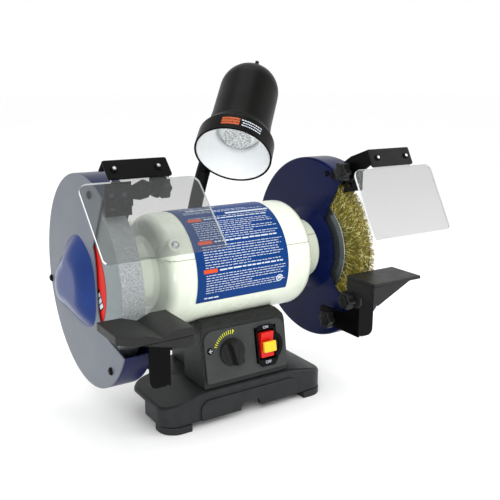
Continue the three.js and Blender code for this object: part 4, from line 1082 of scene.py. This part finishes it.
# ---- spark arrestors, eye shields and their clamps
SHIELDS = ((-1, 44, (-130, 129.5)), (1, 29, (-133, 121.5)))
SHIELD_X = 158.3
PANE_IN, PANE_OUT = 100.3, 222.3
TAB_IN, TAB_OUT = 132.3, 189.3
PANE_DROP, TAB_RISE = -84, 19
pane_outline = [
    (PANE_IN, PANE_DROP, 5), (PANE_OUT, PANE_DROP, 5), (PANE_OUT, 0, 9), (TAB_OUT, 0, 0.6),
    (TAB_OUT, TAB_RISE, 2), (TAB_IN, TAB_RISE, 2), (TAB_IN, 0, 0.6), (PANE_IN, 0, 9),
]
pane_sheet = prism(fillet(pane_outline, 0, 5), 0, 2.6, "y")
for side, tilt, top in SHIELDS:
    label = side_name(side)
    dress(f"spark_arrestor_{label}", STEEL_BLACK, 0.4)
    arrestor_spots = [
        ((side * (SHIELD_X + dx), -69.2, z), (0, -1, 0)) for dx in (-7, 7) for z in (98.5, 113.5)
    ]
    screws(f"arrestor_screws_{label}", f"arrestor_{label}", arrestor_spots, radius=3.4, height=1.8)
    on_pane = Matrix.Translation((0, *top)) @ Matrix.Rotation(-math.radians(tilt), 4, "X")
    pane = sided_piece(
        side, "shield_pane", "shield", CLEAR, [moved(pane_sheet, on_pane)], "eye_shield",
        slot="clear_plastic",
    )
    # The second finish goes on the pane's edge faces, except those that face down: a painted highlight
    # along the cut edges.
    pane.data.materials.append(CLEAR_EDGE_HIGHLIGHT)
    outward = on_pane.to_3x3() @ Vector((0, -1, 0))
    downward = on_pane.to_3x3() @ Vector((0, 0, -1))
    for polygon in pane.data.polygons:
        polygon.use_smooth = False
        bright = abs(polygon.normal.dot(outward)) < 0.9 and polygon.normal.dot(downward) < 0.8
        polygon.material_index = 1 if bright else 0
    dress(f"eye_shield_bracket_{label}", STEEL_BLACK, 0.5)
    clamp_spots = [(on_pane @ Vector((side * x, -2.1, 12)), outward) for x in (139, 184)]
    # The clamp screws' sockets in bright steel on their dark heads: painted glints.
    screws(
        f"shield_screws_{label}", f"shield_{label}", clamp_spots, recess=STEEL, radius=3.8, height=2.2,
        hexagon=True,
    )


def lobed_knob(x0, x1, tip, radius=11.9, lobes=6):
    """A lobed hand knob along X on its bolt: its grip, its two collars and the bolt."""
    outline = []
    for k in range(72):
        a = 2 * math.pi * k / 72
        outline.append(polar(radius * (0.87 + 0.12 * math.cos(lobes * a)), a))
    grip = prism(outline, x0 + 1.5, x1 - 2)
    collars = rod(x0, x0 + 3, radius * 0.5, 32, 0.8), rod(x1 - 3, x1, radius * 0.55, 32, 0.4)
    return grip, *collars, rod(x1 - 1, tip, 3, 20)


KNOBS = (
    ("shield_knob", "shield_knob", SHIELD_PIVOT, 112.3, 126.3, plate_in + 1.5),
    ("rest_tilt_knob", "tilt_knob", REST_PIVOT, 109.5, 124.5, 136),
    ("rest_arm_knob", "arm_knob", ARM_BOLT, 114, 128, plate_in + 3),
)
for node, body, place, x0, x1, tip in KNOBS:
    for side in (-1, 1):
        grip, *collars, bolt = [shift(part, 0, *place) for part in lobed_knob(x0, x1, tip)]
        sided_piece(
            side, f"{node}_grip", body, KNOB, [grip], node, bevel=1.6, segments=3, slot="knob_plastic",
        )
        sided_piece(side, f"{node}_boss", body, KNOB, collars)
        sided_piece(side, f"{node}_bolt", body, STEEL_BLACK, [bolt])

# ---- tool rests
for side in (-1, 1):
    label = side_name(side)
    dress(f"rest_arm_{label}", STEEL_BLACK, 0.6)
    dress(f"tool_rest_{label}", REST_PAINT, 0.7, 3)

# ---- lamp, drawn along X from its mouth and aimed


def swing(direction):
    """The turn that takes +X to a direction."""
    return Vector((1, 0, 0)).rotation_difference(direction).to_matrix().to_4x4()


AIM = Matrix.Translation(LAMP_MOUTH) @ swing(LAMP_AXIS)
DOME_CENTRE = SHADE_LENGTH - SHADE_RADIUS
SWITCH_DIRECTION = Vector((0.309, 0, 0.951))
to_switch = swing(AIM.to_3x3().inverted() @ SWITCH_DIRECTION)
ON_DOME = Matrix.Translation((DOME_CENTRE, 0, 0)) @ to_switch @ Matrix.Translation((-DOME_CENTRE, 0, 0))
BUTTON_RADIUS = 2.6
BUTTON_FLARE = SHADE_LENGTH - 12
BUTTON_TOP = SHADE_LENGTH + 4.2
BALL_Z = 126
BALL_RADIUS = 11
LED_RINGS = ((1, 0), (6, 4.4), (12, 8.8), (18, 13.2), (24, 17))


def aimed(*parts):
    return [moved(part, AIM) for part in parts]


def dome(radius, steps=12):
    """The shade's round end in profile, from its side to the axis."""
    angles = [math.pi / 2 * k / steps for k in range(1, steps + 1)]
    return [(DOME_CENTRE + radius * math.sin(a), radius * math.cos(a)) for a in angles]


def neck_at(z):
    """The gooseneck's centre line, upright at its foot and leaning over to +X as it rises."""
    return Vector((-0.7 + 0.001036 * (z + 60) ** 2, NECK_Y, z))


outer = [
    (0, MOUTH_RADIUS - 1.8), (0, MOUTH_RADIUS, 0.8), (24.5, MOUTH_RADIUS - 0.4, 3),
    (37, SHADE_RADIUS + 1.6, 5), (60, SHADE_RADIUS), (DOME_CENTRE, SHADE_RADIUS),
]
inner = [
    (1, MOUTH_RADIUS - 1.8), (23, MOUTH_RADIUS - 2.4, 3), (37, SHADE_RADIUS - 0.6, 5),
    (DOME_CENTRE, SHADE_RADIUS - 2),
]
outer = fillet(outer, 0, 5, closed=False) + dome(SHADE_RADIUS)
inner = fillet(inner, 0, 5, closed=False) + dome(SHADE_RADIUS - 2)
shade = lathe(outer + list(reversed(inner)), 128)
button_hole = moved(rod(BUTTON_FLARE, SHADE_LENGTH + 6, 3, 24), ON_DOME)
ball_turns = [math.pi * k / 16 for k in range(17)]
ball_profile = [(-BALL_RADIUS * math.cos(a), BALL_RADIUS * math.sin(a)) for a in ball_turns]
ball = shift(lathe(ball_profile, 32, closed=False), *neck_at(BALL_Z))
core_radius = SHADE_RADIUS - 1.2
dome_core = [(20, 0), (20, core_radius), (DOME_CENTRE, core_radius)] + dome(core_radius)
inside_dome = aimed(lathe(dome_core, 64, closed=False))
piece(
    "lamp_housing", "lamp_head", LAMP_BLACK, aimed(shade), nodes=["lamp_shade"], cuts=aimed(button_hole),
    slot="lamp_black",
)
piece("lamp_ball", "lamp_head", LAMP_BLACK, [ball], cuts=inside_dome, slot="lamp_black")
bowl_profile = [
    (1.2, MOUTH_RADIUS - 2.2), (22.5, MOUTH_RADIUS - 2.8, 3), (36, SHADE_RADIUS - 1.4, 4),
    (39.1, SHADE_RADIUS - 4), (39.1, 27.5), (30, 29, 8), (14, 41.5, 12), (1.2, MOUTH_RADIUS - 3.4),
]
piece(
    "lamp_bowl", "lamp_head", REFLECTOR, aimed(lathe(fillet(bowl_profile, 0, 6), 128)),
    nodes=["lamp_reflector"], slot="reflector_white",
)
disc_profile = [(30, 0), (30, 19.5, 1), (32, 20.5, 1), (38.7, 26.4), (39.3, 27), (41, 35), (41, 0)]
piece(
    "led_disc", "lamp_head", REFLECTOR, aimed(turned(disc_profile, 64)), nodes=["led_board"],
    slot="reflector_white",
)
bulb = lathe([(35, 0), (35, 2.1), (30.0, 2.1), (28.4, 1.6), (27.6, 0.8), (27.4, 0)], 12, closed=False)
leds = []
for count, radius in LED_RINGS:
    for k in range(count):
        leds.append(shift(bulb, 0, *polar(radius, 2 * math.pi * k / count + radius)))
piece("led_bulbs", "lamp_head", LENS, aimed(*leds))
button_profile = [
    (BUTTON_FLARE - 2, 0), (BUTTON_FLARE - 2, 6), (BUTTON_FLARE, 6), (BUTTON_FLARE, BUTTON_RADIUS),
    (BUTTON_TOP, BUTTON_RADIUS, 1.2), (BUTTON_TOP, 0),
]
piece(
    "lamp_push_button", "lamp_button", KNOB, aimed(moved(turned(button_profile, 32, 4), ON_DOME)),
    nodes=["lamp_switch"], slot="knob_plastic",
)

# ---- printed mark on the shade's collar, on the side that faces the operator
to_operator = AIM.to_3x3().inverted() @ Vector((-0.35, -0.75, 0.55))
PRINT_ANGLE = math.degrees(math.atan2(to_operator.z, to_operator.y))


def on_collar(x0, x1, a0, a1):
    """A printed patch on the tapering collar, x0 to x1 behind its mouth and between two angles."""
    slope = 0.4 / 24.5 / MOUTH_RADIUS
    verts, faces = on_drum(x0, x1, a0, a1, MOUTH_RADIUS - 0.1, MOUTH_RADIUS + 0.08)
    return [(x, y * (1 - slope * x), z * (1 - slope * x)) for x, y, z in verts], faces


collar_white, collar_orange = [], []
for row in (7.2, 11.2, 15.2):
    collar_orange.append(on_collar(row, row + 3.1, PRINT_ANGLE - 27, PRINT_ANGLE - 1))
    around = PRINT_ANGLE + 1 + random.uniform(0, 3)
    while around < PRINT_ANGLE + 32:
        length = random.uniform(1.2, 3.4)
        collar_white.append(on_collar(row + 0.6, row + 2.1, around, around + length))
        around += length + 0.8
piece("collar_print_orange", "lamp_head", PRINT_AMBER, aimed(*collar_orange))
piece("collar_print_white", "lamp_head", PRINT_WHITE, aimed(*collar_white))


# ---- gooseneck and its socket
def tube(z0, z1, rings, count=28):
    """A length of the gooseneck with a fine spiral-wound surface, closed at both ends."""
    verts = []
    for k in range(rings + 1):
        z = z0 + (z1 - z0) * k / rings
        here = neck_at(z)
        across = Vector((0, 1, 0))
        other = (neck_at(z + 0.5) - here).normalized().cross(across)
        r = NECK_RADIUS - (0.35 if k % 2 else 0.0)
        for j in range(count):
            u, v = polar(r, 2 * math.pi * j / count)
            verts.append(tuple(here + across * u + other * v))
    faces = skin(rings + 1, count)
    faces += [tuple(range(count - 1, -1, -1)), tuple(rings * count + j for j in range(count))]
    return verts, faces


def neck_point(z):
    return SHAFT + neck_at(z) * MM


HALF_WAY = (NECK_JOINTS[0] + NECK_JOINTS[1]) / 2
JOINT_REACH = 26
LOWER_END = NECK_JOINTS[0] - JOINT_REACH
UPPER_START = NECK_JOINTS[1] + JOINT_REACH
piece(
    "neck_foot_tube", "frame", BLACK_PLASTIC, [tube(-66, LOWER_END + 1, 24)], nodes=["gooseneck_lower"],
    slot="panel_plastic",
)
LOW_JOINT, HIGH_JOINT = NECK_JOINTS
for name, node, a, b, z0, z1, joint_z in (
    ("neck_low_bend", "gooseneck_middle", "frame", "neck_middle", LOWER_END, HALF_WAY, LOW_JOINT),
    ("neck_high_bend", "gooseneck_upper", "neck_middle", "neck_upper", HALF_WAY, UPPER_START, HIGH_JOINT),
):
    bend = raw_object(name, [tube(z0 - 0.4, z1 + 0.4, 34)])
    bend.data.materials.append(BLACK_PLASTIC)
    soften(bend, 0)
    start, end = neck_point(joint_z - JOINT_REACH + 2), neck_point(joint_z + JOINT_REACH - 2)
    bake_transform(bend)
    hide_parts(node)
head_tube = tube(UPPER_START - 1, 113.4, 10)
piece("neck_head_tube", "neck_upper", BLACK_PLASTIC, [head_tube], slot="panel_plastic")
dress("lamp_socket", STEEL_BLACK, 0.8)
dress("cord_gland", BLACK_PLASTIC, 0.6)
socket_spots = [((x, PEDESTAL_HIGH.y + 5, -90), (0, 1, 0)) for x in (-8, 7)]
screws("socket_screws", "frame", socket_spots, radius=3, height=1.8)

# ---- floor, light and camera, in metres
FLOOR_HALF = 14.0
floor_corners = [(FLOOR_HALF * x, FLOOR_HALF * y, 0) for x, y in ((-1, -1), (1, -1), (1, 1), (-1, 1))]
floor_data = bpy.data.meshes.new("floor")
floor_data.from_pydata(floor_corners, [], [(0, 1, 2, 3)])
floor_data.materials.append(
    finish("floor", (254, 254, 254), 0.85, mottle=(0.004, 400), grain=(0.01, 4))
)
floor = linked("floor", floor_data)

world = bpy.data.worlds.new("studio")
world.use_nodes = True
world.node_tree.nodes["Background"].inputs["Color"].default_value = (1, 1, 1, 1)
world.node_tree.nodes["Background"].inputs["Strength"].default_value = 1.0
bpy.context.scene.world = world


def area_light(name, place, target, size, power):
    """A soft rectangular light at place that faces target."""
    data = bpy.data.lights.new(name, "AREA")
    data.shape = "RECTANGLE"
    data.size, data.size_y = size
    data.energy = power
    light = linked(name, data)
    light.location = place
    light.rotation_euler = (Vector(target) - Vector(place)).to_track_quat("-Z", "Y").to_euler()


MIDDLE = (0, 0, 0.2)
area_light("key", (-0.9, -1.3, 1.5), MIDDLE, (0.8, 0.8), 12)
area_light("right", (1.4, -0.9, 0.9), MIDDLE, (0.5, 1.0), 9)
area_light("top", (0.2, 0.3, 1.8), MIDDLE, (1.0, 1.0), 6)
area_light("low", (-0.9, -1.2, 0.1), (0, 0, 0.3), (0.5, 0.3), 4)

FOCAL_LENGTH = 50.65
SENSOR_WIDTH = 36
CAMERA_PLACE = Vector((-433.7, -734.4, 223.2))
CAMERA_RIGHT = Vector((0.8372, -0.5468, 0.0058))
CAMERA_FORWARD = Vector((0.5322, 0.8123, -0.2387))
camera_data = bpy.data.cameras.new("camera")
camera_data.lens = FOCAL_LENGTH
camera_data.sensor_width = SENSOR_WIDTH
camera = linked("camera", camera_data)
right = CAMERA_RIGHT.normalized()
forward = (CAMERA_FORWARD - right * CAMERA_FORWARD.dot(right)).normalized()
rotation = Matrix((right, right.cross(forward), -forward)).transposed().to_4x4()
camera.matrix_world = Matrix.Translation(SHAFT + CAMERA_PLACE * MM) @ rotation
bpy.context.scene.camera = camera
bpy.context.scene.view_settings.view_transform = "Standard"
